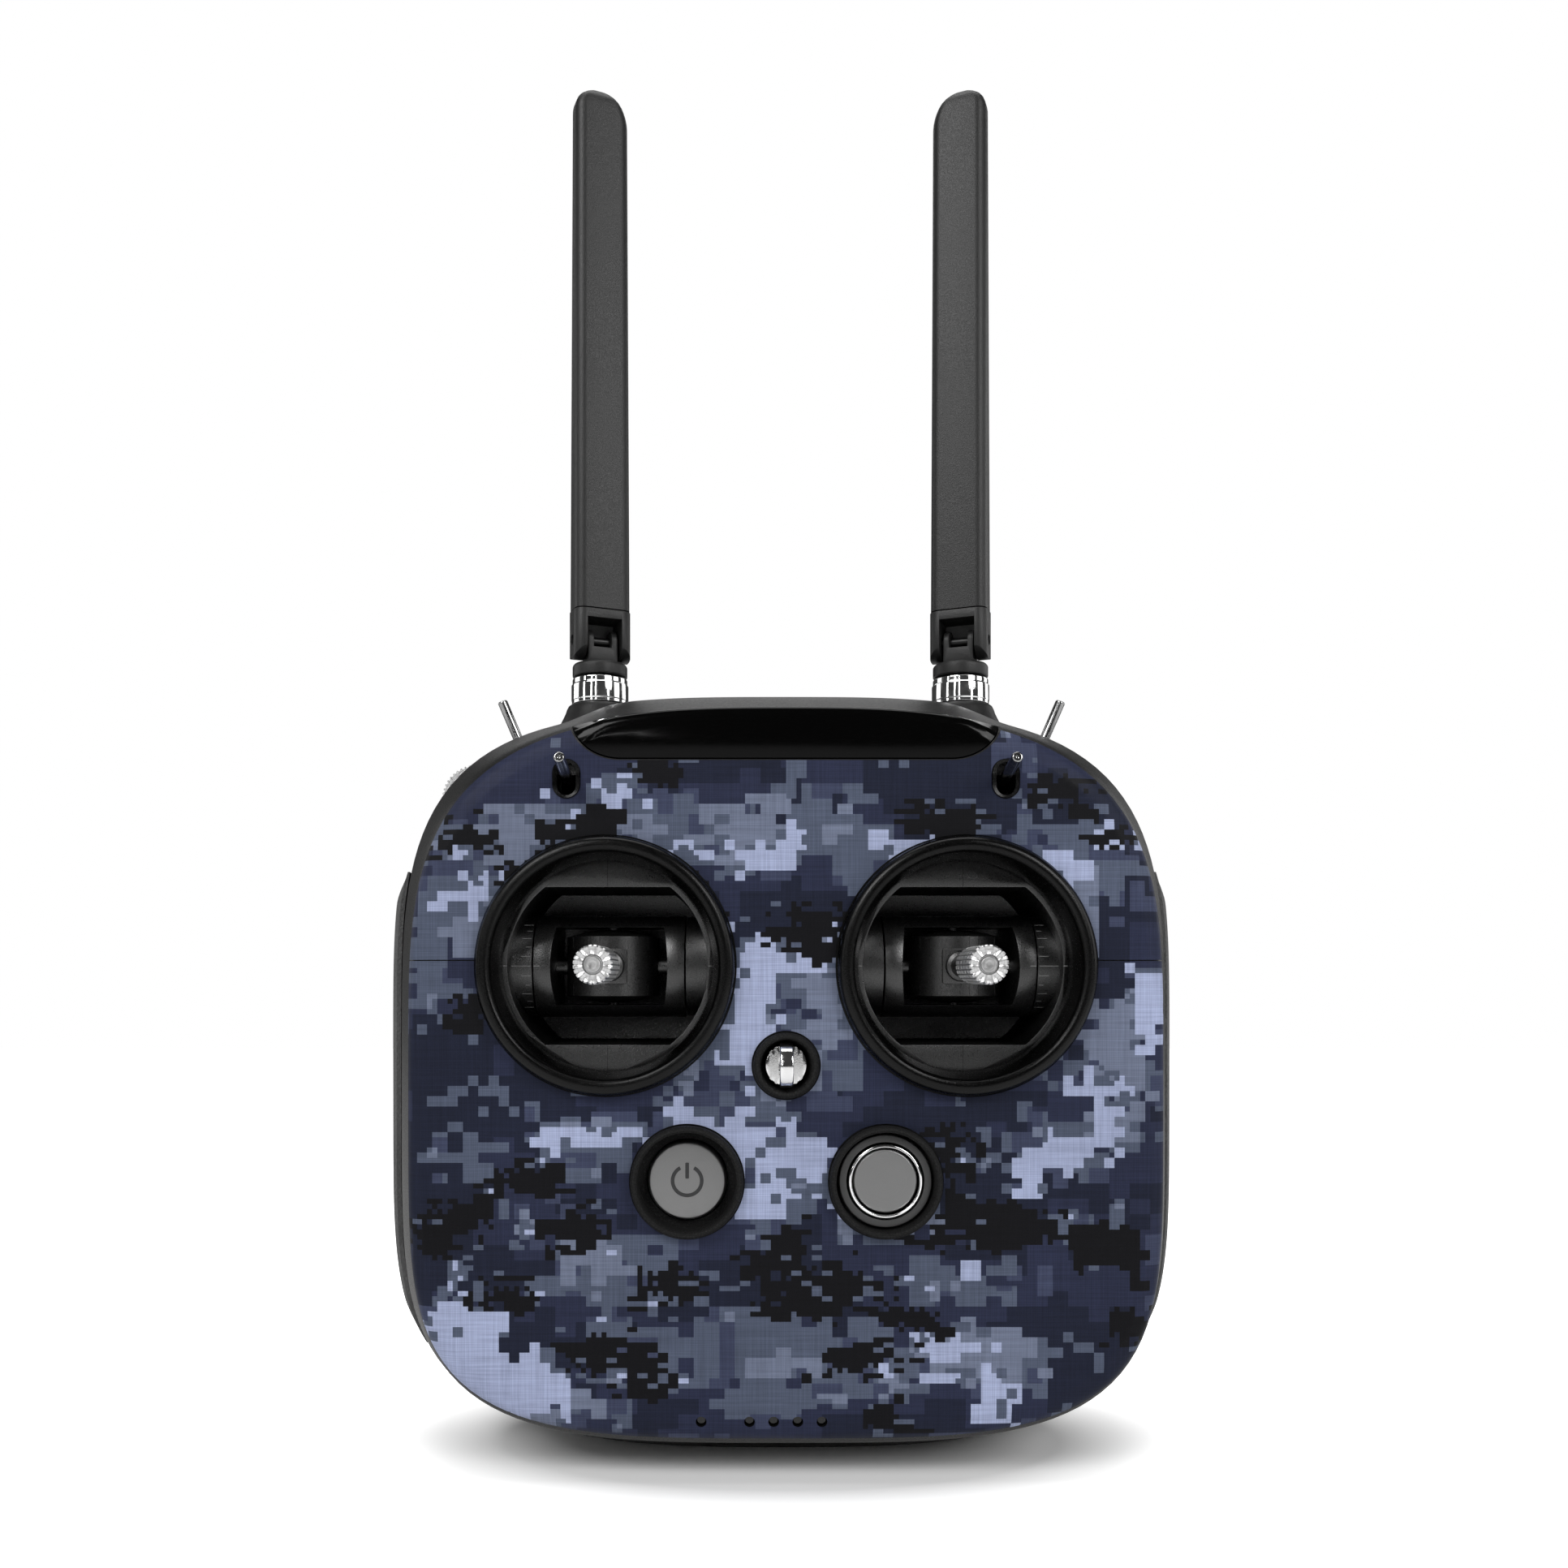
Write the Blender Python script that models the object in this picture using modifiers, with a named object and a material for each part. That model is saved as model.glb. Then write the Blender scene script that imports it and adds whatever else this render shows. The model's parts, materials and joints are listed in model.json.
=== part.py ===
"""Hand-held radio transmitter with two stick gimbals, switches and two folding antennas.

X points to the user's right, -Y is the face, +Z is up.
The origin is the centre of the flat that it rests on.
Sizes are in millimetres, and become metres as each mesh is made.
"""
import math

import bmesh
import bpy
from mathutils import Euler, Matrix, Vector

MM = 0.001
GAP = 0.3
OBJECT_NAME = "radio_transmitter"

# Case: each row is (Y, half width, height above the waist, depth below the waist, rise of the middle)
WAIST_Z = 85.0
CASE_ROWS = (
    (-28.0, 74.5, 70.2, 71.6, 0.0),
    (-27.4, 76.4, 72.3, 74.1, 0.0),
    (-26.2, 77.5, 73.7, 75.6, 0.0),
    (-24.0, 78.6, 75.3, 77.8, 0.0),
    (-15.0, 82.0, 77.0, 80.0, 2.4),
    (-7.0, 84.2, 78.4, 84.9, 2.4),
    (4.0, 85.5, 79.9, 87.0, 2.4),
    (15.0, 84.7, 79.6, 87.0, 2.4),
    (22.0, 81.5, 76.0, 87.0, 1.9),
    (27.0, 75.0, 70.0, 80.0, 0.8),
    (28.5, 69.0, 65.0, 73.0, 0.0),
)
RAISED_INNER_X = 34.0
RAISED_OUTER_X = 50.0
FACE_Y = CASE_ROWS[0][0]
SKIN_EDGE_Y = CASE_ROWS[2][0]
BACK_Y = CASE_ROWS[-1][0]
FRONT_RIM_Y = -4.3
REAR_RIM_Y = -3.5
WALL = 2.4
OUTLINE_POINTS = 44
FULL_CURVE_Y = 4.0
UPPER_POWERS = (2.94, 3.79, 3.73, 4.18)
LOWER_POWERS = (3.75, 5.2, 2.45, 5.3)

# Top panel
FASCIA_FLAT_X = 34.0
FASCIA_SIDE_X = 44.5
FASCIA_LOW_Z = 148.9
FASCIA_CORNER_Z = 158.0
FASCIA_FLARE = 3.0
FASCIA_FRONT_Y = -34.0
FASCIA_BACK_Y = -24.5

# Skin
SKIN_LIFT = 0.35
SKIN_GROW = 0.15
SLIT_RISE = 1.1
SKIN_THICKNESS = 0.25
SLIT_WIDTH = 0.3

# Grips
GRIP_LOW_Z = 22.0
GRIP_HIGH_Z = 128.0
GRIP_YS = (-3.2, 0.5, 4.0, 9.0, 14.0, 22.0, 25.0)
GRIP_LIFT = 0.6
GRIP_THICKNESS = 2.7

# Rims that stand on the skin: distances forward of the origin to their foot and to their inner end
RIM_FOOT = 28.95
RIM_END = 24.4

# Cutters run from here, in front of every rim, to behind the face
CUT_FRONT_Y = -36.0
CUT_BACK_Y = -20.0

# Stick gimbals
GIMBAL_X = 37.0
GIMBAL_Y = -11.0
GIMBAL_Z = 106.5
RING_TOP = 32.0
RING_RADIUS = 26.6
RING_NECK_RADIUS = 25.5
PLATE_Y = -24.0
HOUSING_RADIUS = 24.6
HOUSING_BACK_Y = 3.6
WELL_RADIUS = 20.9
WELL_HALF_HEIGHT = 16.4
WELL_BACK_Y = 1.6
BARREL_RADIUS = 11.0
BARREL_HALF_LENGTH = 15.85
CHEEK_GAP = 0.35
YOKE_PIN_HALF_LENGTH = 18.6
WINDOW_BOW_RADIUS = 40.0
WINDOW_HALF_WIDTH = 12.3
WINDOW_HALF_HEIGHT = 8.3
DRUM_RADIUS = 10.0
DRUM_HALF_HEIGHT = 7.9
DRUM_PIN_RADIUS = 1.3
DRUM_PIN_REACH = 10.2
STICK_REACH = 41.0

# Buttons and strap anchor
BUTTON_Z = 62.3
POWER_X = -20.3
RETURN_X = 20.4
BEZEL_RADIUS = 11.56
CAP_BACK = 22.0
STRAP_Z = 86.1

# Toggles
FACE_TOGGLE = (45.0, -22.0, 144.0)
FACE_TOGGLE_REACH = 18.0
FACE_SLOT_RISE = 0.8
SHOULDER_TOGGLE_X = 60.0
SHOULDER_TOGGLE_Y = 2.0
SHOULDER_TOGGLE_DEPTH = 6.0
SHOULDER_TOGGLE_REACH = 14.8
SHOULDER_LEAN = math.radians(22)
TOGGLE_REST = math.radians(11)

# Dials and small buttons
DIAL_RADIUS = 8.0
DIAL_HALF_WIDTH = 1.8
LEFT_DIAL = (74.6, 4.0, 1.3)
RIGHT_DIAL = (74.6, 11.0, 0.8)
DIAL_AXLE_RADIUS = 1.5
DIAL_AXLE_REACH = 5.0
SHOULDER_BUTTON = (81.4, 12.0)
SHOULDER_BUTTON_DEPTH = 8.0
BACK_BUTTON = (46.0, 62.0)

# Antennas
ANTENNA_X = 42.0
ANTENNA_Y = 8.0
ANTENNA_TURN = math.radians(22)
BOSS_FOOT_Z = 160.5
BOSS_TOP_Z = 167.1
BOSS_FOOT_RADIUS = 9.6
BOSS_TOP_RADIUS = 7.0
NUT_TOP_Z = 173.5
COLLAR_TOP_Z = 176.8
SPIGOT_FOOT_Z = 163.0
SPIGOT_RADIUS = 2.9
PIN_Z = 182.2
PIN_RADIUS = 1.0
PIN_BORE_RADIUS = 1.3
FORK_FOOT_DROP = 5.0
FORK_TOP_Z = 188.9
FORK_WIDTH = 13.4
FORK_DEPTH = 8.4
TONGUE_HALF_DEPTH = 2.6
BLADE_TOP_Z = 309.5

LED_Z = 13.1
STATUS_LED_X = -17.4
BATTERY_LED_XS = (-7.5, -2.55, 2.4, 7.35)

# Case screws
SCREW_PLACES = ((58.0, 35.0), (58.0, 130.0))
BOSS_END_Y = 11.5
BOSS_RADIUS = 3.2

TO_FRONT = Euler((math.radians(90), 0.0, 0.0))
UPRIGHT = Euler((0.0, 0.0, 0.0))


def clear_scene():
    for item in list(bpy.data.objects):
        bpy.data.objects.remove(item, do_unlink=True)


def make_collection(name):
    collection = bpy.data.collections.new(name)
    bpy.context.scene.collection.children.link(collection)
    return collection


def make_finish(name, colour, roughness, metallic=0.0):
    material = bpy.data.materials.new(name)
    material.use_nodes = True
    shader = material.node_tree.nodes["Principled BSDF"]
    shader.inputs["Base Color"].default_value = (*colour, 1.0)
    shader.inputs["Roughness"].default_value = roughness
    shader.inputs["Metallic"].default_value = metallic
    return material


clear_scene()
PARTS = make_collection(OBJECT_NAME)
CUTTERS = make_collection("cutters")
SHELL_BLACK = make_finish("shell_black", (0.02, 0.02, 0.02), 0.55)
SKIN_PRINT = make_finish("skin_print", (0.06, 0.07, 0.12), 0.6)
GLOSS_BLACK = make_finish("gloss_black", (0.004, 0.004, 0.004), 0.12)
RUBBER = make_finish("grip_rubber", (0.03, 0.03, 0.03), 0.8)
GIMBAL_BLACK = make_finish("gimbal_black", (0.012, 0.012, 0.012), 0.45)
ALUMINIUM = make_finish("stick_aluminium", (0.6, 0.6, 0.6), 0.25, 1.0)
CHROME = make_finish("chrome", (0.7, 0.7, 0.7), 0.1, 1.0)
BUTTON_GREY = make_finish("button_grey", (0.2, 0.2, 0.2), 0.35, 0.6)
ANTENNA_BLACK = make_finish("antenna_black", (0.04, 0.04, 0.04), 0.6)
LIGHT_CLEAR = make_finish("light_guide", (0.1, 0.1, 0.1), 0.3)
BOARD_GREEN = make_finish("board_green", (0.01, 0.08, 0.03), 0.5)
BATTERY_GREY = make_finish("battery_grey", (0.08, 0.08, 0.09), 0.6)


# ---- building blocks ----

def add_object(name, mesh, finish, pivot=(0.0, 0.0, 0.0)):
    """Link a mesh given in metres and world coordinates, with its origin at a pivot in millimetres."""
    place = Vector(pivot) * MM
    mesh.transform(Matrix.Translation(-place))
    piece = bpy.data.objects.new(name, mesh)
    piece.location = place
    link(piece, finish)
    return piece


def link(piece, finish):
    """A piece with a finish joins the parts, and one without is a cutter."""
    if finish is None:
        piece.hide_render = True
        piece.display_type = "WIRE"
        CUTTERS.objects.link(piece)
        return
    PARTS.objects.link(piece)
    piece.data.materials.append(finish)


def solid(name, bm, finish, pivot=(0.0, 0.0, 0.0)):
    """Turn a bmesh in millimetres into an object."""
    bmesh.ops.scale(bm, vec=(MM, MM, MM), verts=bm.verts)
    mesh = bpy.data.meshes.new(name)
    bm.to_mesh(mesh)
    bm.free()
    return add_object(name, mesh, finish, pivot)


def add_box(bm, low, high):
    size = [b - a for a, b in zip(low, high)]
    middle = [(a + b) / 2 for a, b in zip(low, high)]
    matrix = Matrix.Translation(middle) @ Matrix.Diagonal((*size, 1.0))
    bmesh.ops.create_cube(bm, size=1.0, matrix=matrix)


def add_rod(bm, start, end, radius, end_radius=None, sides=20):
    axis = Vector(end) - Vector(start)
    turn = axis.to_track_quat("Z", "Y").to_matrix().to_4x4()
    matrix = Matrix.Translation((Vector(start) + Vector(end)) / 2) @ turn
    bmesh.ops.create_cone(bm, cap_ends=True, segments=sides, radius1=radius,
                          radius2=radius if end_radius is None else end_radius,
                          depth=axis.length, matrix=matrix)


def box(name, low, high, finish, pivot=(0.0, 0.0, 0.0)):
    bm = bmesh.new()
    add_box(bm, low, high)
    return solid(name, bm, finish, pivot)


def rods(name, ends, finish, sides=20, pivot=(0.0, 0.0, 0.0)):
    """One object of separate rods, each (start, end, radius), with a second radius for a cone."""
    bm = bmesh.new()
    for start, end, *radii in ends:
        add_rod(bm, start, end, *radii, sides=sides)
    return solid(name, bm, finish, pivot)


def turned(name, profile, finish, centre, tilt=TO_FRONT, steps=36):
    """Turn a profile of (radius, height) points, running down its outer side, about the local Z."""
    mesh = bpy.data.meshes.new(name)
    edges = [(i, i + 1) for i in range(len(profile) - 1)]
    if profile[0][0] > 0:
        edges.append((len(profile) - 1, 0))
    mesh.from_pydata([(r * MM, 0.0, h * MM) for r, h in profile], edges, [])
    piece = bpy.data.objects.new(name, mesh)
    piece.location = Vector(centre) * MM
    piece.rotation_euler = tilt
    link(piece, finish)
    screw = piece.modifiers.new("turn", "SCREW")
    screw.steps = steps
    screw.render_steps = steps
    screw.use_merge_vertices = True
    screw.merge_threshold = 0.00001
    screw.use_smooth_shade = True
    return piece


def flat_shape(name, points, thickness, frame, finish, pivot=(0.0, 0.0, 0.0)):
    """A flat outline in its own XY plane, centred on that plane and placed by a frame matrix."""
    curve = bpy.data.curves.new(name + "_outline", "CURVE")
    curve.dimensions = "2D"
    curve.fill_mode = "BOTH"
    curve.extrude = thickness / 2 * MM
    spline = curve.splines.new("POLY")
    spline.points.add(len(points) - 1)
    for point, (x, y) in zip(spline.points, points):
        point.co = (x * MM, y * MM, 0.0, 1.0)
    spline.use_cyclic_u = True
    outline = bpy.data.objects.new(name + "_outline", curve)
    CUTTERS.objects.link(outline)
    mesh = mesh_from_curve(name, outline, 0.000001)
    mesh.transform(frame)
    return add_object(name, mesh, finish, pivot)


def mesh_from_curve(name, curve_object, weld):
    """Read a curve object as a welded mesh, and remove the curve."""
    graph = bpy.context.evaluated_depsgraph_get()
    mesh = bpy.data.meshes.new_from_object(curve_object.evaluated_get(graph))
    mesh.name = name
    bm = bmesh.new()
    bm.from_mesh(mesh)
    bmesh.ops.remove_doubles(bm, verts=bm.verts, dist=weld)
    bmesh.ops.recalc_face_normals(bm, faces=bm.faces)
    bm.to_mesh(mesh)
    bm.free()
    bpy.data.objects.remove(curve_object, do_unlink=True)
    return mesh


def facing(y):
    """Frame that stands an outline's XY plane in X and Z, at a given Y."""
    return Matrix.Translation((0.0, y * MM, 0.0)) @ TO_FRONT.to_matrix().to_4x4()


def combine(piece, other, operation="DIFFERENCE"):
    modifier = piece.modifiers.new(other.name, "BOOLEAN")
    modifier.operation = operation
    modifier.object = other
    return piece


def arc(centre_x, centre_y, radius_x, radius_y, start, end, steps):
    """Points along an elliptical arc, angles in degrees."""
    points = []
    for i in range(steps + 1):
        angle = math.radians(start + (end - start) * i / steps)
        points.append((centre_x + radius_x * math.cos(angle), centre_y + radius_y * math.sin(angle)))
    return points


def stadium(centre_x, centre_y, radius, half_straight):
    upper = arc(centre_x, centre_y + half_straight, radius, radius, 0, 180, 6)
    return upper + arc(centre_x, centre_y - half_straight, radius, radius, 180, 360, 6)


# ---- case ----

def mix(low, high, share):
    return low + (high - low) * share


def case_row(y):
    """Half width, height, depth and the middle's rise at a given Y."""
    for near, far in zip(CASE_ROWS, CASE_ROWS[1:]):
        if y <= far[0]:
            break
    share = (y - near[0]) / (far[0] - near[0])
    return [mix(a, b, share) for a, b in zip(near[1:], far[1:])]


def case_section(y):
    """Half width, height, depth and the powers of the upper and lower outline at a given Y."""
    half_width, top, bottom, _ = case_row(y)
    depth_share = min(1.0, (y - FACE_Y) / (FULL_CURVE_Y - FACE_Y))
    upper = [mix(UPPER_POWERS[i], UPPER_POWERS[i + 2], depth_share) for i in (0, 1)]
    lower = [mix(LOWER_POWERS[i], LOWER_POWERS[i + 2], depth_share) for i in (0, 1)]
    return half_width, top, bottom, upper, lower


def middle_rise(y, x):
    """How much the raised middle of the top adds at a given Y and X."""
    share = (RAISED_OUTER_X - abs(x)) / (RAISED_OUTER_X - RAISED_INNER_X)
    share = min(1.0, max(0.0, share))
    return case_row(y)[3] * share * share * (3.0 - 2.0 * share)


def half_outline(y, grow, count):
    """Points from the top to the bottom of the right side, evenly spaced."""
    half_width, top, bottom, upper, lower = case_section(y)
    fine = []
    for i in range(361):
        angle = math.radians(90 - i / 2)
        rise, (p, q) = (top, upper) if angle >= 0 else (-bottom, lower)
        x = (half_width + grow) * max(0.0, math.cos(angle)) ** (2 / p)
        z = (rise + math.copysign(grow, rise)) * abs(math.sin(angle)) ** (2 / q)
        if angle > 0:
            z += middle_rise(y, x)
        fine.append((x, max(WAIST_Z + z, 0.0)))
    lengths = [0.0]
    for a, b in zip(fine, fine[1:]):
        lengths.append(lengths[-1] + math.dist(a, b))
    points = []
    index = 0
    for i in range(count + 1):
        target = lengths[-1] * i / count
        while index < len(fine) - 2 and lengths[index + 1] < target:
            index += 1
        share = (target - lengths[index]) / (lengths[index + 1] - lengths[index])
        points.append(tuple(mix(a, b, share) for a, b in zip(fine[index], fine[index + 1])))
    return points


def outline(y, grow=0.0):
    right = half_outline(y, grow, OUTLINE_POINTS // 2)
    return right + [(-x, z) for x, z in reversed(right[1:-1])]


def case_surface(name, ys, finish, wall, offset, cap=None, lift=0.0, grow=0.0):
    """Part of the case between some Ys, closed at one end, with its normals out, and given a wall."""
    bm = bmesh.new()
    rings = []
    for y in ys:
        rings.append([bm.verts.new((x, y - lift, z)) for x, z in outline(y, grow)])
    for near, far in zip(rings, rings[1:]):
        for i, vert in enumerate(near):
            j = (i + 1) % len(near)
            bm.faces.new((vert, near[j], far[j], far[i]))
    if cap == "front":
        bm.faces.new(list(reversed(rings[0])))
    else:
        bm.faces.new(rings[-1])
    piece = solid(name, bm, finish)
    thicken = piece.modifiers.new("wall", "SOLIDIFY")
    thicken.thickness = wall * MM
    thicken.offset = offset
    thicken.use_even_offset = True
    return piece


def case_ys(low, high):
    """The case's row Ys between two others, with those two at the ends."""
    between = [row[0] for row in CASE_ROWS if low + 0.1 < row[0] < high - 0.1]
    return [low, *between, high]


def side_x(y, z):
    """Half width of the case at a given Y and Z."""
    half_width, top, bottom, upper, lower = case_section(y)
    span, (p, q) = (top, upper) if z >= WAIST_Z else (bottom, lower)
    share = min(1.0, abs(z - WAIST_Z) / span)
    return half_width * (1.0 - share ** q) ** (1 / p)


def shoulder(y, x):
    """Height and outward normal (X, Z) of the upper case at a given Y and X."""
    half_width, top, _, (p, q), _ = case_section(y)
    rise = top * (1.0 - (x / half_width) ** p) ** (1 / q)
    normal = Vector((p * x ** (p - 1) / half_width ** p, q * rise ** (q - 1) / top ** q))
    return WAIST_Z + rise, normal.normalized()


def fascia_outline(inset):
    """Outline of the top panel in X and Z, open upwards past the case."""
    side = FASCIA_SIDE_X - inset
    low = FASCIA_LOW_Z + inset
    right = arc(FASCIA_FLAT_X, FASCIA_CORNER_Z, side - FASCIA_FLAT_X, FASCIA_CORNER_Z - low, -90, 0, 8)
    flared = side + FASCIA_FLARE
    above = FASCIA_CORNER_Z + 22.0
    return right + [(flared, above), (-flared, above)] + [(-x, z) for x, z in reversed(right)]


def fascia_block(name, inset):
    """Block that holds the top panel, from in front of the face to a little behind its rim."""
    back = FASCIA_BACK_Y - inset
    middle = facing((FASCIA_FRONT_Y + back) / 2)
    return flat_shape(name, fascia_outline(inset), back - FASCIA_FRONT_Y, middle, None)


def face_openings(name, gimbal, bezel, strap, led, toggle):
    """Cutters through the face, with the radius that each kind of opening has."""
    rounds = [(side * GIMBAL_X, GIMBAL_Z, gimbal) for side in (-1, 1)]
    rounds += [(x, BUTTON_Z, bezel) for x in (POWER_X, RETURN_X)]
    rounds.append((0.0, STRAP_Z, strap))
    round_ends = [((x, CUT_FRONT_Y, z), (x, CUT_BACK_Y, z), radius) for x, z, radius in rounds]
    led_xs = (STATUS_LED_X, *BATTERY_LED_XS)
    led_ends = [((x, CUT_FRONT_Y, LED_Z), (x, CUT_BACK_Y - 2.0, LED_Z), led) for x in led_xs]
    cutters = [rods(name, round_ends, None, sides=28), rods(name + "_leds", led_ends, None, sides=8)]
    for side in (-1, 1):
        slot = stadium(side * FACE_TOGGLE[0], FACE_TOGGLE[2] + FACE_SLOT_RISE, toggle, 1.2)
        cutters.append(flat_shape(f"{name}_slot{side}", slot, 12.0, facing(FACE_Y), None))
    return cutters


def make_front_shell():
    """Front half of the case, with its face openings and four long screw bosses."""
    ys = case_ys(FACE_Y, FRONT_RIM_Y)
    shell = case_surface("front_shell", ys, SHELL_BLACK, WALL, -1, cap="front")
    for cutter in face_openings("shell_openings", gimbal=25.8, bezel=11.0, strap=6.2, led=1.15, toggle=2.3):
        combine(shell, cutter)
    combine(shell, fascia_block("fascia_space", 0.0))
    places = [(side * x, z) for side in (-1, 1) for x, z in SCREW_PLACES]
    bosses = [((x, FACE_Y + 1.5, z), (x, BOSS_END_Y, z), BOSS_RADIUS) for x, z in places]
    combine(shell, rods("screw_bosses", bosses, None, sides=12), "UNION")
    bores = [((x, -4.0, z), (x, BOSS_END_Y + 1.0, z), 1.5) for x, z in places]
    combine(shell, rods("screw_bores", bores, None, sides=10))


def make_top_fascia():
    ys = case_ys(FACE_Y, FRONT_RIM_Y)
    fascia = case_surface("top_fascia", ys, GLOSS_BLACK, WALL, -1, cap="front")
    combine(fascia, fascia_block("fascia_shape", GAP), "INTERSECT")


def make_front_skin():
    ys = case_ys(FACE_Y, SKIN_EDGE_Y)
    skin = case_surface("front_skin", ys, SKIN_PRINT, SKIN_THICKNESS, 1, cap="front",
                        lift=SKIN_LIFT, grow=SKIN_GROW)
    for cutter in face_openings("skin_openings", gimbal=26.9, bezel=11.86, strap=7.1, led=1.3, toggle=2.9):
        combine(skin, cutter)
    combine(skin, fascia_block("skin_fascia_space", -GAP))
    bm = bmesh.new()
    for side in (-1, 1):
        inner = side * (GIMBAL_X + RING_NECK_RADIUS)
        outer = side * 90.0
        slit_z = GIMBAL_Z + SLIT_RISE
        low = (min(inner, outer), CUT_FRONT_Y, slit_z - SLIT_WIDTH / 2)
        add_box(bm, low, (max(inner, outer), CUT_BACK_Y, slit_z + SLIT_WIDTH / 2))
    combine(skin, solid("skin_slits", bm, None))


def shoulder_point(side, y, x, depth):
    """A point under the shoulder surface, and the surface's outward direction there."""
    z, normal = shoulder(y, x)
    outward = Vector((side * normal.x, 0.0, normal.y))
    return Vector((side * x, y, z)) - outward * depth, outward


def shoulder_toggle_pivot(side):
    z, _ = shoulder(SHOULDER_TOGGLE_Y, SHOULDER_TOGGLE_X)
    lean = Vector((side * math.sin(SHOULDER_LEAN), 0.0, math.cos(SHOULDER_LEAN)))
    surface = Vector((side * SHOULDER_TOGGLE_X, SHOULDER_TOGGLE_Y, z))
    return surface - lean * SHOULDER_TOGGLE_DEPTH, lean


def shoulder_frame(side, distance):
    """Frame whose Z points along a shoulder toggle's lean, at a distance above its pivot."""
    pivot, lean = shoulder_toggle_pivot(side)
    turn = Matrix.Rotation(side * SHOULDER_LEAN, 4, "Y")
    return Matrix.Translation((pivot + lean * distance) * MM) @ turn


def shoulder_openings():
    """Cutters for the toggles, dials and buttons in the shoulders."""
    cutters = []
    for side, (dial_x, dial_y, proud) in ((-1, LEFT_DIAL), (1, RIGHT_DIAL)):
        slot = stadium(0.0, 0.0, 1.9, 2.0)
        cutters.append(flat_shape(f"shoulder_slot{side}", slot, 12.0, shoulder_frame(side, 5.0), None))
        hub, _ = shoulder_point(side, dial_y, dial_x, DIAL_RADIUS - proud)
        half = DIAL_HALF_WIDTH + GAP
        ends = ((hub.x, dial_y - half, hub.z), (hub.x, dial_y + half, hub.z))
        cutters.append(rods(f"dial_slot{side}", [(*ends, DIAL_RADIUS + 0.5)], None, sides=24))
        low, outward = shoulder_point(side, SHOULDER_BUTTON[1], SHOULDER_BUTTON[0], SHOULDER_BUTTON_DEPTH)
        cutters.append(rods(f"button_hole{side}", [(low, low + outward * 16.0, 3.9)], None))
    return cutters


def make_rear_shell():
    shell = case_surface("rear_shell", case_ys(REAR_RIM_Y, BACK_Y), SHELL_BLACK, WALL, -1, cap="back")
    bosses = []
    holes = []
    for side in (-1, 1):
        x = side * ANTENNA_X
        ends = ((x, ANTENNA_Y, BOSS_FOOT_Z), (x, ANTENNA_Y, BOSS_TOP_Z))
        bosses.append((*ends, BOSS_FOOT_RADIUS, BOSS_TOP_RADIUS))
        holes.append(((x, ANTENNA_Y, 150.0), (x, ANTENNA_Y, 172.0), 3.4))
    combine(shell, rods("antenna_bosses", bosses, None, sides=22), "UNION")
    combine(shell, rods("antenna_holes", holes, None))
    for cutter in shoulder_openings():
        combine(shell, cutter)
    inside = BACK_Y - 6.5
    outside = BACK_Y + 5.5
    back = []
    for side in (-1, 1):
        for x, z, radius in ((*BACK_BUTTON, 4.5), *((*place, 3.0) for place in SCREW_PLACES)):
            back.append(((side * x, inside, z), (side * x, outside, z), radius))
    combine(shell, rods("back_holes", back, None))
    combine(shell, box("port_space", (-18.3, inside, 119.7), (18.3, outside, 134.3), None))


def make_grip(name, side):
    """Rubber side panel that follows the case and thins to nothing at its ends."""
    columns = 14
    bm = bmesh.new()
    bmesh.ops.create_grid(bm, x_segments=columns, y_segments=len(GRIP_YS) - 1, size=0.5)
    weights = []
    for vert in bm.verts:
        along = vert.co.x + 0.5
        across = round((vert.co.y + 0.5) * (len(GRIP_YS) - 1))
        z = mix(GRIP_LOW_Z, GRIP_HIGH_Z, along)
        y = GRIP_YS[across]
        end = min(1.0, along / 0.09, (1.0 - along) / 0.07)
        edge = (0.15, 0.7, 1.0, 1.0, 1.0, 0.8, 0.3)[across]
        weights.append(math.sin(end * math.pi / 2) * edge)
        vert.co = (side * (side_x(y, z) + GRIP_LIFT), y, z)
    if side > 0:
        bmesh.ops.reverse_faces(bm, faces=bm.faces)
    grip = solid(name, bm, RUBBER)
    group = grip.vertex_groups.new(name="thickness")
    for index, weight in enumerate(weights):
        group.add([index], weight, "REPLACE")
    thicken = grip.modifiers.new("wall", "SOLIDIFY")
    thicken.thickness = GRIP_THICKNESS * MM
    thicken.offset = 1
    thicken.vertex_group = "thickness"
    thicken.thickness_vertex_group = 0.2


# ---- stick gimbals ----

def make_gimbal(label, side):
    x = side * GIMBAL_X
    centre = (x, GIMBAL_Y, GIMBAL_Z)
    ring_profile = ((24.5, RING_TOP), (25.9, 31.1), (RING_RADIUS, RIM_FOOT), (RING_NECK_RADIUS, RIM_FOOT),
                    (RING_NECK_RADIUS, RIM_END), (21.8, RIM_END), (23.5, 31.4))
    turned(f"gimbal_ring_{label}", ring_profile, GIMBAL_BLACK, (x, 0.0, GIMBAL_Z), steps=30)
    make_gimbal_housing(label, x)
    make_gimbal_yoke(label, centre)
    make_gimbal_drum(label, centre)
    shaft = ((0.0, 33.0), (2.4, 33.0), (2.4, 12.3), (3.3, 11.8), (3.3, 10.6), (2.4, 10.6), (2.4, 6.6),
             (0.0, 6.6))
    turned(f"stick_shaft_{label}", shaft, GIMBAL_BLACK, centre, steps=12)
    end = ((0.0, STICK_REACH), (3.3, STICK_REACH), (3.75, STICK_REACH - 0.5), (3.75, 26.4), (3.4, 26.0),
           (2.75, 26.0), (2.75, 36.5), (0.0, 36.5))
    turned(f"stick_end_{label}", end, ALUMINIUM, centre, steps=14)


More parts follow.
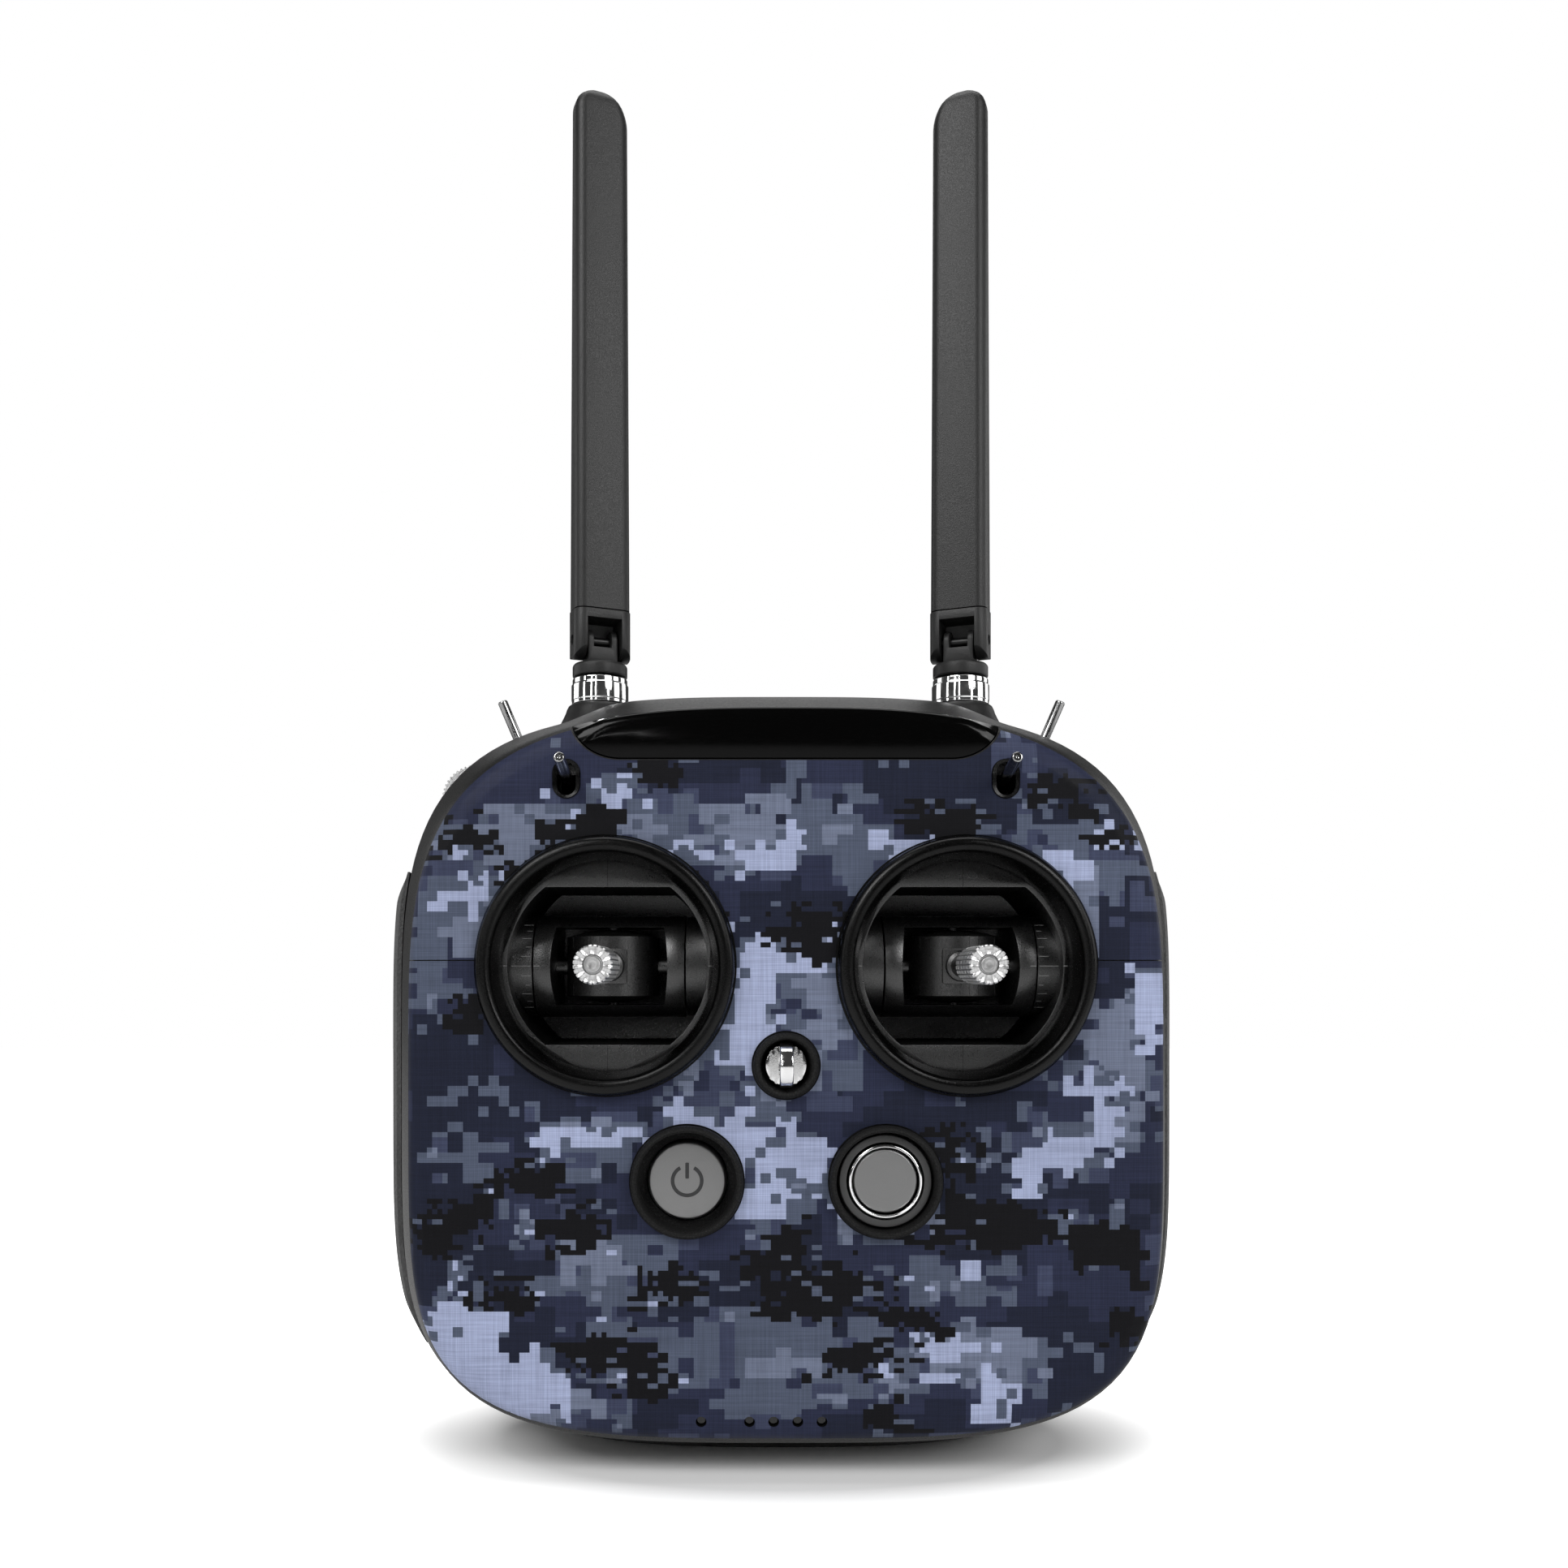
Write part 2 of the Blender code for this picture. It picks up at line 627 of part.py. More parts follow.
def make_gimbal_housing(label, x):
    """Round block with a well, side cheeks level with the barrel, and bores for the barrel's pins."""
    block = ((x, PLATE_Y, GIMBAL_Z), (x, HOUSING_BACK_Y, GIMBAL_Z), HOUSING_RADIUS)
    housing = rods(f"gimbal_housing_{label}", [block], GIMBAL_BLACK, sides=28)
    corner = math.degrees(math.asin(WELL_HALF_HEIGHT / WELL_RADIUS))
    well = arc(x, GIMBAL_Z, WELL_RADIUS, WELL_RADIUS, -corner, corner, 8)
    well += arc(x, GIMBAL_Z, WELL_RADIUS, WELL_RADIUS, 180 - corner, 180 + corner, 8)
    depth = WELL_BACK_Y - PLATE_Y + 2.0
    combine(housing, flat_shape(f"well_{label}", well, depth, facing(WELL_BACK_Y - depth / 2), None))
    cheeks = []
    bores = []
    for way in (-1, 1):
        inner = x + way * (BARREL_HALF_LENGTH + CHEEK_GAP)
        cheeks.append(((inner, GIMBAL_Y, GIMBAL_Z), (x + way * 22.0, GIMBAL_Y, GIMBAL_Z), 10.7))
        bores.append(((inner - way * 0.5, GIMBAL_Y, GIMBAL_Z), (x + way * 19.0, GIMBAL_Y, GIMBAL_Z), 2.2))
    combine(housing, rods(f"cheeks_{label}", cheeks, None, sides=20), "UNION")
    combine(housing, rods(f"pin_bores_{label}", bores, None, sides=12))


def make_gimbal_yoke(label, centre):
    """Barrel along X with a bowed window through it, side pins, and bores for the drum's pins."""
    x, y, z = centre
    ends = ((x - BARREL_HALF_LENGTH, y, z), (x + BARREL_HALF_LENGTH, y, z))
    yoke = rods(f"gimbal_yoke_{label}", [(*ends, BARREL_RADIUS)], GIMBAL_BLACK, sides=24, pivot=centre)
    pin = ((x - YOKE_PIN_HALF_LENGTH, y, z), (x + YOKE_PIN_HALF_LENGTH, y, z), 1.8)
    combine(yoke, rods(f"yoke_pins_{label}", [pin], None, sides=12), "UNION")
    bow = math.degrees(math.asin(WINDOW_HALF_HEIGHT / WINDOW_BOW_RADIUS))
    offset = WINDOW_HALF_WIDTH - WINDOW_BOW_RADIUS
    window = arc(x + offset, z, WINDOW_BOW_RADIUS, WINDOW_BOW_RADIUS, -bow, bow, 4)
    window += arc(x - offset, z, WINDOW_BOW_RADIUS, WINDOW_BOW_RADIUS, 180 - bow, 180 + bow, 4)
    combine(yoke, flat_shape(f"window_{label}", window, 30.0, facing(y), None))
    bores = [((x, y, z - 12.0), (x, y, z - 7.0), 1.6), ((x, y, z + 7.0), (x, y, z + 12.0), 1.6)]
    combine(yoke, rods(f"drum_bores_{label}", bores, None, sides=12))


def make_gimbal_drum(label, centre):
    """Upright drum with domed ends, end pins, a front pad and a bore for the stick."""
    x, y, z = centre
    dome = [(9.6 * i / 2, DRUM_HALF_HEIGHT - 1.5 * (i / 2) ** 2) for i in (1, 2)]
    side = [(DRUM_RADIUS, 6.0), (DRUM_RADIUS, -6.0)]
    pin = [(0.0, DRUM_PIN_REACH), (DRUM_PIN_RADIUS, DRUM_PIN_REACH), (DRUM_PIN_RADIUS, 7.87)]
    upper = pin + dome
    profile = upper + side + [(radius, -height) for radius, height in reversed(upper)]
    drum = turned(f"gimbal_drum_{label}", profile, GIMBAL_BLACK, centre, tilt=UPRIGHT, steps=16)
    pad = box(f"drum_pad_{label}", (x - 3.8, y - 10.25, z - 3.7), (x + 3.8, y - 5.0, z + 3.7), None)
    combine(drum, pad, "UNION")
    bore = ((x, y - 14.0, z), (x, y - 6.0, z), 2.75)
    combine(drum, rods(f"stick_bore_{label}", [bore], None, sides=16))


# ---- buttons and strap anchor ----

def make_bezel(name, x):
    profile = ((10.8, 31.2), (BEZEL_RADIUS, 30.2), (BEZEL_RADIUS, RIM_FOOT), (10.7, RIM_FOOT),
               (10.7, RIM_END), (8.5, RIM_END), (8.5, 25.6), (10.1, 25.6), (10.3, 30.9))
    turned(name, profile, RUBBER, (x, 0.0, BUTTON_Z), steps=22)


def make_buttons():
    make_bezel("power_bezel", POWER_X)
    cap = ((0.0, 27.4), (7.6, 27.4), (8.1, 26.9), (8.1, CAP_BACK), (0.0, CAP_BACK))
    turned("power_button", cap, BUTTON_GREY, (POWER_X, 0.0, BUTTON_Z), steps=22)
    make_bezel("return_bezel", RETURN_X)
    light = ((8.0, 28.0), (9.5, 28.0), (9.5, 25.9), (8.0, 25.9))
    turned("return_light_ring", light, SHELL_BLACK, (RETURN_X, 0.0, BUTTON_Z), steps=22)
    trim = ((7.2, 28.6), (7.6, 28.3), (7.6, 23.0), (6.9, 23.0), (6.9, 28.3))
    turned("return_trim_ring", trim, CHROME, (RETURN_X, 0.0, BUTTON_Z), steps=22)
    button = ((0.0, 27.6), (6.2, 27.9), (6.6, 27.5), (6.6, CAP_BACK), (0.0, CAP_BACK))
    turned("return_button", button, BUTTON_GREY, (RETURN_X, 0.0, BUTTON_Z), steps=22)


def make_strap_anchor():
    profile = ((6.1, 30.6), (6.75, RIM_FOOT), (5.9, RIM_FOOT), (5.9, RIM_END), (4.75, RIM_END), (5.5, 30.3))
    turned("strap_bezel", profile, RUBBER, (0.0, 0.0, STRAP_Z), steps=18)
    disc = ((0.0, 28.4), (4.1, 28.4), (4.3, 28.2), (4.3, 20.0), (0.0, 20.0))
    lug = turned("strap_lug", disc, CHROME, (0.0, 0.0, STRAP_Z), steps=20)
    loop = arc(0.0, 29.0, 4.65, 4.4, 0, 180, 10) + [(-3.7, 26.0), (3.7, 26.0)]
    upright = Matrix(((0, 0, 1, 0), (0, -1, 0, 0), (1, 0, 0, STRAP_Z * MM), (0, 0, 0, 1)))
    combine(lug, flat_shape("lug_loop", loop, 2.8, upright, None), "UNION")
    hole = ((-5.0, -30.3, STRAP_Z), (5.0, -30.3, STRAP_Z), 1.7)
    combine(lug, rods("lug_hole", [hole], None, sides=16))


# ---- toggles, dials and small buttons ----

def make_toggle_lever(name, place, tilt, reach):
    profile = ((0.0, reach), (0.85, reach), (1.1, reach - 0.25), (1.1, 2.0), (1.6, 1.1), (1.9, 0.0),
               (1.6, -1.1), (1.0, -1.6), (0.0, -1.9))
    turned(name, profile, CHROME, place, tilt=tilt, steps=10)


def make_toggle_body(name, frame, top):
    """Switch body behind a lever's pivot, in a frame whose Z points along the lever's middle place."""
    bm = bmesh.new()
    add_box(bm, (-4.0, -4.6, -9.0), (4.0, 4.6, top))
    body = solid(name, bm, SHELL_BLACK)
    body.matrix_world = frame
    bm = bmesh.new()
    add_rod(bm, (-2.5, 0.0, 0.0), (2.5, 0.0, 0.0), 3.4, sides=20)
    socket = solid(name + "_socket", bm, None)
    socket.matrix_world = frame
    combine(body, socket)


def make_toggles():
    for label, side in (("left", -1), ("right", 1)):
        x, y, z = FACE_TOGGLE
        place = (side * x, y, z)
        tilt = Euler((math.radians(90) - TOGGLE_REST, 0.0, 0.0))
        make_toggle_lever(f"face_toggle_lever_{label}", place, tilt, FACE_TOGGLE_REACH)
        frame = Matrix.Translation(Vector(place) * MM) @ TO_FRONT.to_matrix().to_4x4()
        make_toggle_body(f"face_toggle_body_{label}", frame, 2.6)
        pivot, _ = shoulder_toggle_pivot(side)
        turn = Matrix.Rotation(side * SHOULDER_LEAN, 3, "Y") @ Matrix.Rotation(TOGGLE_REST, 3, "X")
        make_toggle_lever(f"shoulder_toggle_lever_{label}", pivot, turn.to_euler(), SHOULDER_TOGGLE_REACH)
        make_toggle_body(f"shoulder_toggle_body_{label}", shoulder_frame(side, 0.0), 0.4)


def make_dials():
    for name, side, (dial_x, dial_y, proud) in (("left_dial", -1, LEFT_DIAL), ("right_dial", 1, RIGHT_DIAL)):
        hub, _ = shoulder_point(side, dial_y, dial_x, DIAL_RADIUS - proud)
        half = [(0.0, DIAL_AXLE_REACH), (DIAL_AXLE_RADIUS, DIAL_AXLE_REACH),
                (DIAL_AXLE_RADIUS, DIAL_HALF_WIDTH), (DIAL_RADIUS, DIAL_HALF_WIDTH)]
        wheel = half + [(radius, -height) for radius, height in reversed(half)]
        turned(name, wheel, ALUMINIUM, hub, steps=20)


def make_small_buttons():
    cap = ((0.0, 8.9), (3.1, 8.9), (3.5, 8.5), (3.5, 4.4), (0.0, 4.4))
    for label, side in (("left", -1), ("right", 1)):
        low, outward = shoulder_point(side, SHOULDER_BUTTON[1], SHOULDER_BUTTON[0], SHOULDER_BUTTON_DEPTH)
        tilt = outward.to_track_quat("Z", "Y").to_euler()
        turned(f"shoulder_button_{label}", cap, BUTTON_GREY, low, tilt=tilt, steps=14)
        back = ((0.0, -23.5), (4.2, -23.5), (4.2, -29.1), (3.8, -29.5), (0.0, -29.5))
        place = (side * BACK_BUTTON[0], 0.0, BACK_BUTTON[1])
        turned(f"back_button_{label}", back, SHELL_BLACK, place, steps=16)


# ---- antennas ----

def rounded_box_outline(half_x, half_y, radius, shift=0.0):
    points = []
    for quarter, (sx, sy) in enumerate(((1, 1), (-1, 1), (-1, -1), (1, -1))):
        middle = (shift + sx * (half_x - radius), sy * (half_y - radius))
        points += arc(*middle, radius, radius, 90 * quarter, 90 * quarter + 90, 4)
    return points


def antenna_frame(side):
    """Frame in millimetres at the foot of an antenna, turned so that its pocket looks forward and inward."""
    place = Matrix.Translation((side * ANTENNA_X, ANTENNA_Y, 0.0))
    return place @ Matrix.Rotation(-side * ANTENNA_TURN, 4, "Z")


def to_metres(frame):
    scaled = frame.copy()
    scaled.translation = frame.translation * MM
    return scaled


def sideways(frame):
    """Frame in metres that stands an outline's XY plane in an antenna frame's Y and Z."""
    return to_metres(frame) @ Matrix(((0, 0, 1, 0), (1, 0, 0, 0), (0, 1, 0, 0), (0, 0, 0, 1)))


def make_antenna(label, side):
    frame = antenna_frame(side)
    foot = (side * ANTENNA_X, ANTENNA_Y, 0.0)
    nut = ((6.3, NUT_TOP_Z), (6.6, 173.1), (6.6, 167.8), (6.3, 167.4), (3.3, 167.4), (3.3, NUT_TOP_Z))
    turned(f"antenna_nut_{label}", nut, CHROME, foot, tilt=UPRIGHT, steps=18)
    make_antenna_knuckle(label, frame, foot)
    pin_ends = [frame @ Vector((x, 0.0, PIN_Z)) for x in (-6.2, 6.2)]
    pivot = frame @ Vector((0.0, 0.0, PIN_Z))
    rods(f"antenna_pin_{label}", [(*pin_ends, PIN_RADIUS)], CHROME, sides=12, pivot=pivot)
    make_antenna_fork(label, frame, pivot)
    make_antenna_blade(label, frame, side, pivot)


def make_antenna_knuckle(label, frame, foot):
    """Collar with a spigot in the nut, and a tongue with two round-topped prongs that hold the hinge pin."""
    profile = ((0.0, COLLAR_TOP_Z), (5.9, COLLAR_TOP_Z), (6.35, 176.4), (6.35, 173.85),
               (SPIGOT_RADIUS, 173.85), (SPIGOT_RADIUS, SPIGOT_FOOT_Z), (0.0, SPIGOT_FOOT_Z))
    knuckle = turned(f"antenna_knuckle_{label}", profile, ANTENNA_BLACK, foot, tilt=UPRIGHT, steps=18)
    half = TONGUE_HALF_DEPTH
    tongue = arc(0.0, PIN_Z, half, half, 0, 180, 10) + [(-half, 175.6), (half, 175.6)]
    combine(knuckle, flat_shape(f"tongue_{label}", tongue, 7.0, sideways(frame), None), "UNION")
    bm = bmesh.new()
    add_box(bm, (-2.1, -5.0, 180.6), (2.1, 5.0, 190.0))
    slot = solid(f"tongue_slot_{label}", bm, None)
    slot.matrix_world = to_metres(frame)
    combine(knuckle, slot)
    bore_ends = [frame @ Vector((x, 0.0, PIN_Z)) for x in (-5.0, 5.0)]
    combine(knuckle, rods(f"knuckle_bore_{label}", [(*bore_ends, PIN_BORE_RADIUS)], None, sides=12))


def make_antenna_fork(label, frame, pivot):
    """Fork with round lower ends about the pin, and a pocket open to the front and below for the tongue."""
    foot = PIN_Z - FORK_FOOT_DROP
    middle = (foot + FORK_TOP_Z) / 2
    block = rounded_box_outline(FORK_WIDTH / 2, FORK_DEPTH / 2, 2.5)
    raised = to_metres(frame @ Matrix.Translation((0.0, 0.0, middle)))
    fork = flat_shape(f"antenna_fork_{label}", block, FORK_TOP_Z - foot, raised, ANTENNA_BLACK, pivot)
    ends = arc(0.0, PIN_Z, 4.6, 4.5, 180, 360, 12) + [(4.6, 195.0), (-4.6, 195.0)]
    combine(fork, flat_shape(f"fork_ends_{label}", ends, 20.0, sideways(frame), None), "INTERSECT")
    bm = bmesh.new()
    add_box(bm, (-4.05, -10.0, 170.0), (4.05, TONGUE_HALF_DEPTH + 0.35, 186.9))
    pocket = solid(f"fork_pocket_{label}", bm, None)
    pocket.matrix_world = to_metres(frame)
    combine(fork, pocket)
    bore_ends = [frame @ Vector((x, 0.0, PIN_Z)) for x in (-6.45, 6.45)]
    combine(fork, rods(f"fork_bore_{label}", [(*bore_ends, PIN_BORE_RADIUS)], None, sides=12))


def make_antenna_blade(label, frame, side, pivot):
    """Blade lofted between rounded sections, with an uneven round tip."""
    bm = bmesh.new()
    inner_corner, outer_corner, depth_corner = 8.0, 4.5, 3.0
    tip = [BLADE_TOP_Z - outer_corner * (1 - math.sin(math.radians(angle))) for angle in (0, 25, 50, 75, 90)]
    heights = [FORK_TOP_Z + GAP, 200.0, 250.0, BLADE_TOP_Z - inner_corner, BLADE_TOP_Z - 6.0, *tip]
    rings = []
    for z in heights:
        share = (z - FORK_TOP_Z) / (BLADE_TOP_Z - FORK_TOP_Z)
        half_width = mix(6.5, 6.15, share)
        half_depth = mix(4.1, 3.3, share)
        reach_in = half_width - corner_loss(z, inner_corner)
        reach_out = half_width - corner_loss(z, outer_corner)
        half_depth -= corner_loss(z, depth_corner) * 0.8
        shift = side * (reach_out - reach_in) / 2
        half = (reach_in + reach_out) / 2
        radius = min(2.3, half_depth * 0.9, half * 0.9)
        ring = rounded_box_outline(half, half_depth, radius, shift)
        rings.append([bm.verts.new(frame @ Vector((x, y, z))) for x, y in ring])
    for lower, upper in zip(rings, rings[1:]):
        for i, vert in enumerate(lower):
            j = (i + 1) % len(lower)
            bm.faces.new((vert, lower[j], upper[j], upper[i]))
    bm.faces.new(list(reversed(rings[0])))
    bm.faces.new(rings[-1])
    solid(f"antenna_blade_{label}", bm, ANTENNA_BLACK, pivot)


def corner_loss(z, radius):
    """How far a round corner at the blade's tip has drawn in at a height."""
    above = z - (BLADE_TOP_Z - radius)
    if above <= 0:
        return 0.0
    return radius - math.sqrt(max(0.0, radius ** 2 - above ** 2))


# ---- inner pieces ----

def make_light_guides():
    """Clear posts behind the small lights, joined by a bar."""
    bm = bmesh.new()
    add_box(bm, (STATUS_LED_X - 1.4, -22.4, LED_Z - 1.0), (BATTERY_LED_XS[-1] + 1.4, -20.8, LED_Z + 1.1))
    guide = solid("light_guide", bm, LIGHT_CLEAR)
    posts = [((x, -27.2, LED_Z), (x, -21.5, LED_Z), 0.85) for x in (STATUS_LED_X, *BATTERY_LED_XS)]
    combine(guide, rods("light_posts", posts, None, sides=10), "UNION")


def make_inner_pieces():
    box("main_board", (-50.0, -15.0, 20.0), (50.0, -13.4, 78.0), BOARD_GREEN)
    pack = box("battery_pack", (-34.0, 6.0, 24.0), (34.0, 23.0, 82.0), BATTERY_GREY)
    bevel = pack.modifiers.new("rounding", "BEVEL")
    bevel.width = 3.0 * MM
    bevel.segments = 2
    panel = box("port_panel", (-18.0, 24.5, 120.0), (18.0, 28.3, 134.0), SHELL_BLACK)
    bm = bmesh.new()
    add_box(bm, (-13.0, 26.0, 124.0), (-5.0, 30.0, 127.6))
    add_box(bm, (4.0, 26.0, 123.4), (13.0, 30.0, 128.2))
    combine(panel, solid("sockets", bm, None))
    for label, side in (("left", -1), ("right", 1)):
        make_coax(f"coax_{label}", side)
        for row, (x, z) in zip(("low", "high"), SCREW_PLACES):
            screw = ((0.0, -13.0), (1.2, -13.0), (1.2, -25.0), (2.6, -25.0), (2.6, -27.0), (0.0, -27.0))
            turned(f"case_screw_{label}_{row}", screw, CHROME, (side * x, 0.0, z), steps=10)


def make_coax(name, side):
    """Thin lead from an antenna boss down behind the stick gimbal to the board."""
    stops = [(42, 8, 161.5), (42, 8.4, 150), (40, 9, 130), (36, 9.5, 105), (37, 9.5, 90), (38, 6, 80),
             (40, -1, 76), (42, -7, 75), (42, -12.6, 75)]
    route = smooth_route([Vector((side * x, y, z)) for x, y, z in stops], 2)
    curve = bpy.data.curves.new(name, "CURVE")
    curve.dimensions = "3D"
    curve.bevel_depth = 0.7 * MM
    curve.bevel_resolution = 1
    curve.use_fill_caps = True
    spline = curve.splines.new("POLY")
    spline.points.add(len(route) - 1)
    for point, place in zip(spline.points, route):
        point.co = (*(place * MM), 1.0)
    lead = bpy.data.objects.new(name, curve)
    link(lead, RUBBER)


def smooth_route(stops, steps):
    """Points on a Catmull-Rom curve through the stops."""
    padded = [stops[0] * 2 - stops[1], *stops, stops[-1] * 2 - stops[-2]]
    points = []
    for a, b, c, d in zip(padded, padded[1:], padded[2:], padded[3:]):
        for i in range(steps):
            t = i / steps
            points.append(0.5 * (2 * b + (c - a) * t + (2 * a - 5 * b + 4 * c - d) * t ** 2
                                 + (3 * b - a - 3 * c + d) * t ** 3))
    return points + [stops[-1]]


def main():
    make_front_shell()
    make_top_fascia()
    make_front_skin()
    make_rear_shell()
    make_buttons()
    make_strap_anchor()
    make_toggles()
    make_dials()
    make_small_buttons()
    make_light_guides()
    make_inner_pieces()
    for label, side in (("left", -1), ("right", 1)):
        make_grip(f"grip_{label}", side)
        make_gimbal(label, side)
        make_antenna(label, side)


main()
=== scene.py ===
"""Looks of a hand-held radio transmitter: fine meshes, procedural materials, light and camera."""
import json
import math

import bmesh
import bpy
from mathutils import Euler, Matrix, Vector, noise


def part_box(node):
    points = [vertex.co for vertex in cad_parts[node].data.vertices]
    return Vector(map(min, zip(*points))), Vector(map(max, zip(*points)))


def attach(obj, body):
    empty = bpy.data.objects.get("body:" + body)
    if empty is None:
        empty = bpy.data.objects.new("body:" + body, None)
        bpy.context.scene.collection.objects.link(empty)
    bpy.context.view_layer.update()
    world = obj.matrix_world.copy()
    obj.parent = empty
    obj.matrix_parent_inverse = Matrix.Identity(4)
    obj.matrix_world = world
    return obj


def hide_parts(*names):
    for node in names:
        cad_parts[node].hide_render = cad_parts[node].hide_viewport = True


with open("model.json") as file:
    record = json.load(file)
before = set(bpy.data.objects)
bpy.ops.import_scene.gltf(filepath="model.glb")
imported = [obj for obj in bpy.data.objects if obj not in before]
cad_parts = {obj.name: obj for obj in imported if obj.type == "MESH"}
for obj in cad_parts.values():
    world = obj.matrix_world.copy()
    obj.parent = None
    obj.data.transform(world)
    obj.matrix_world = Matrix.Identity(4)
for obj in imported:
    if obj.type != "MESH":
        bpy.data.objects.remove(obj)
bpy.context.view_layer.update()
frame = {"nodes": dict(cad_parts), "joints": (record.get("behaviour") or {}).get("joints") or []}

MM = 0.001
NODES = frame["nodes"]
SIDES = (("left", -1), ("right", 1))


def middle(node):
    """Centre of a CAD node's box, in millimetres."""
    low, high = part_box(node)
    return [(a + b) / 2 / MM for a, b in zip(low, high)]


def joint(name):
    return next(row for row in frame["joints"] if row["name"] == name)


def pivot_of(name):
    """A joint's place, in millimetres."""
    return Vector(joint(name)["pos_m"]) / MM


# Driving places, in millimetres, read from the frame; those with two sides are the right one's
GIMBAL = middle("gimbal_yoke_right")
POWER = middle("power_button")
RETURN = middle("return_button")
STRAP = middle("strap_lug")
ANTENNA = middle("antenna_nut_right")

# Turns of the antennas about Z, of the shoulder toggles outwards, and of each toggle's lever at rest
ANTENNA_TURN = math.radians(22)
SHOULDER_LEAN = math.radians(22)
TOGGLE_REST = math.radians(11)

# The case's flat face and back, its rims, the edges of its skin and top panel, and its widest height
FACE_Y = -28.0
BACK_Y = 28.5
FRONT_RIM_Y = -4.3
REAR_RIM_Y = -3.5
SKIN_EDGE_Y = -26.2
FASCIA_BACK_Y = -24.5
WAIST_Z = 85.0
OUTLINE_POINTS = 192

# The case's walls, the gap round the top panel, the share of a flat end that its inner ring lies at, the
# skin's sheet, and the planes that openings are cut between
WALL = 2.4
FIT_GAP = 0.3
CAP_SHRINK = 0.985
SKIN_THICKNESS = 0.22
SKIN_LIFT = 0.35
SKIN_GROW = 0.15
CUT_FRONT_Y = -36.0
CUT_BACK_Y = -20.0
BACK_CUT_YS = (22.0, 34.0)

# Openings in the back: X, Z and radius on each side, and the low and high X and Z of the port's
BACK_HOLES = ((46.0, 62.0, 4.5), (58.0, 35.0, 3.0), (58.0, 130.0, 3.0))
PORT_SPACE = ((-18.3, 119.7), (18.3, 134.3))

# The top panel: half widths of its straight foot and its sides, its foot and corners, and its lifted edge
FASCIA_FLAT_X = 34.0
FASCIA_SIDE_X = 44.5
FASCIA_LOW_Z = 148.9
FASCIA_CORNER_Z = 158.0
FASCIA_LIFT = 2.9

# The side grips: their ends, front and back edges, and thickness at the rim and added by the pad
GRIP_LOW_Z = 22.2
GRIP_HIGH_Z = 127.8
GRIP_FRONT_Y = -3.2
GRIP_BACK_Y = 25.0
GRIP_GAP = 0.6
GRIP_RIM = 0.5
GRIP_SWELL = 2.15

# The printed face between its outermost cuts
PRINT_HALF_WIDTH = 78.75
PRINT_LOW_Z = 7.35
PRINT_HIGH_Z = 160.0

# The case's outline: (Y, half width, height above the waist, depth below it, rise of the raised middle)
CASE_ROWS = (
    (-28.0, 74.5, 70.2, 71.6, 0.0),
    (-27.4, 76.4, 72.3, 74.1, 0.0),
    (-26.2, 77.5, 73.7, 75.6, 0.0),
    (-24.0, 78.6, 75.3, 77.8, 0.0),
    (-15.0, 82.0, 77.0, 80.0, 2.4),
    (-7.0, 84.2, 78.4, 84.9, 2.4),
    (4.0, 85.5, 79.9, 87.0, 2.4),
    (15.0, 84.7, 79.6, 87.0, 2.4),
    (22.0, 81.5, 76.0, 87.0, 1.9),
    (27.0, 75.0, 70.0, 80.0, 0.8),
    (28.5, 69.0, 65.0, 73.0, 0.0),
)
RAISED_INNER_X = 34.0
RAISED_OUTER_X = 50.0
FULL_CURVE_Y = 4.0

# Powers of the outline at the face, then from FULL_CURVE_Y back
UPPER_POWERS = (2.94, 3.79, 3.73, 4.18)
LOWER_POWERS = (3.75, 5.2, 2.45, 5.3)


# ---- materials ----

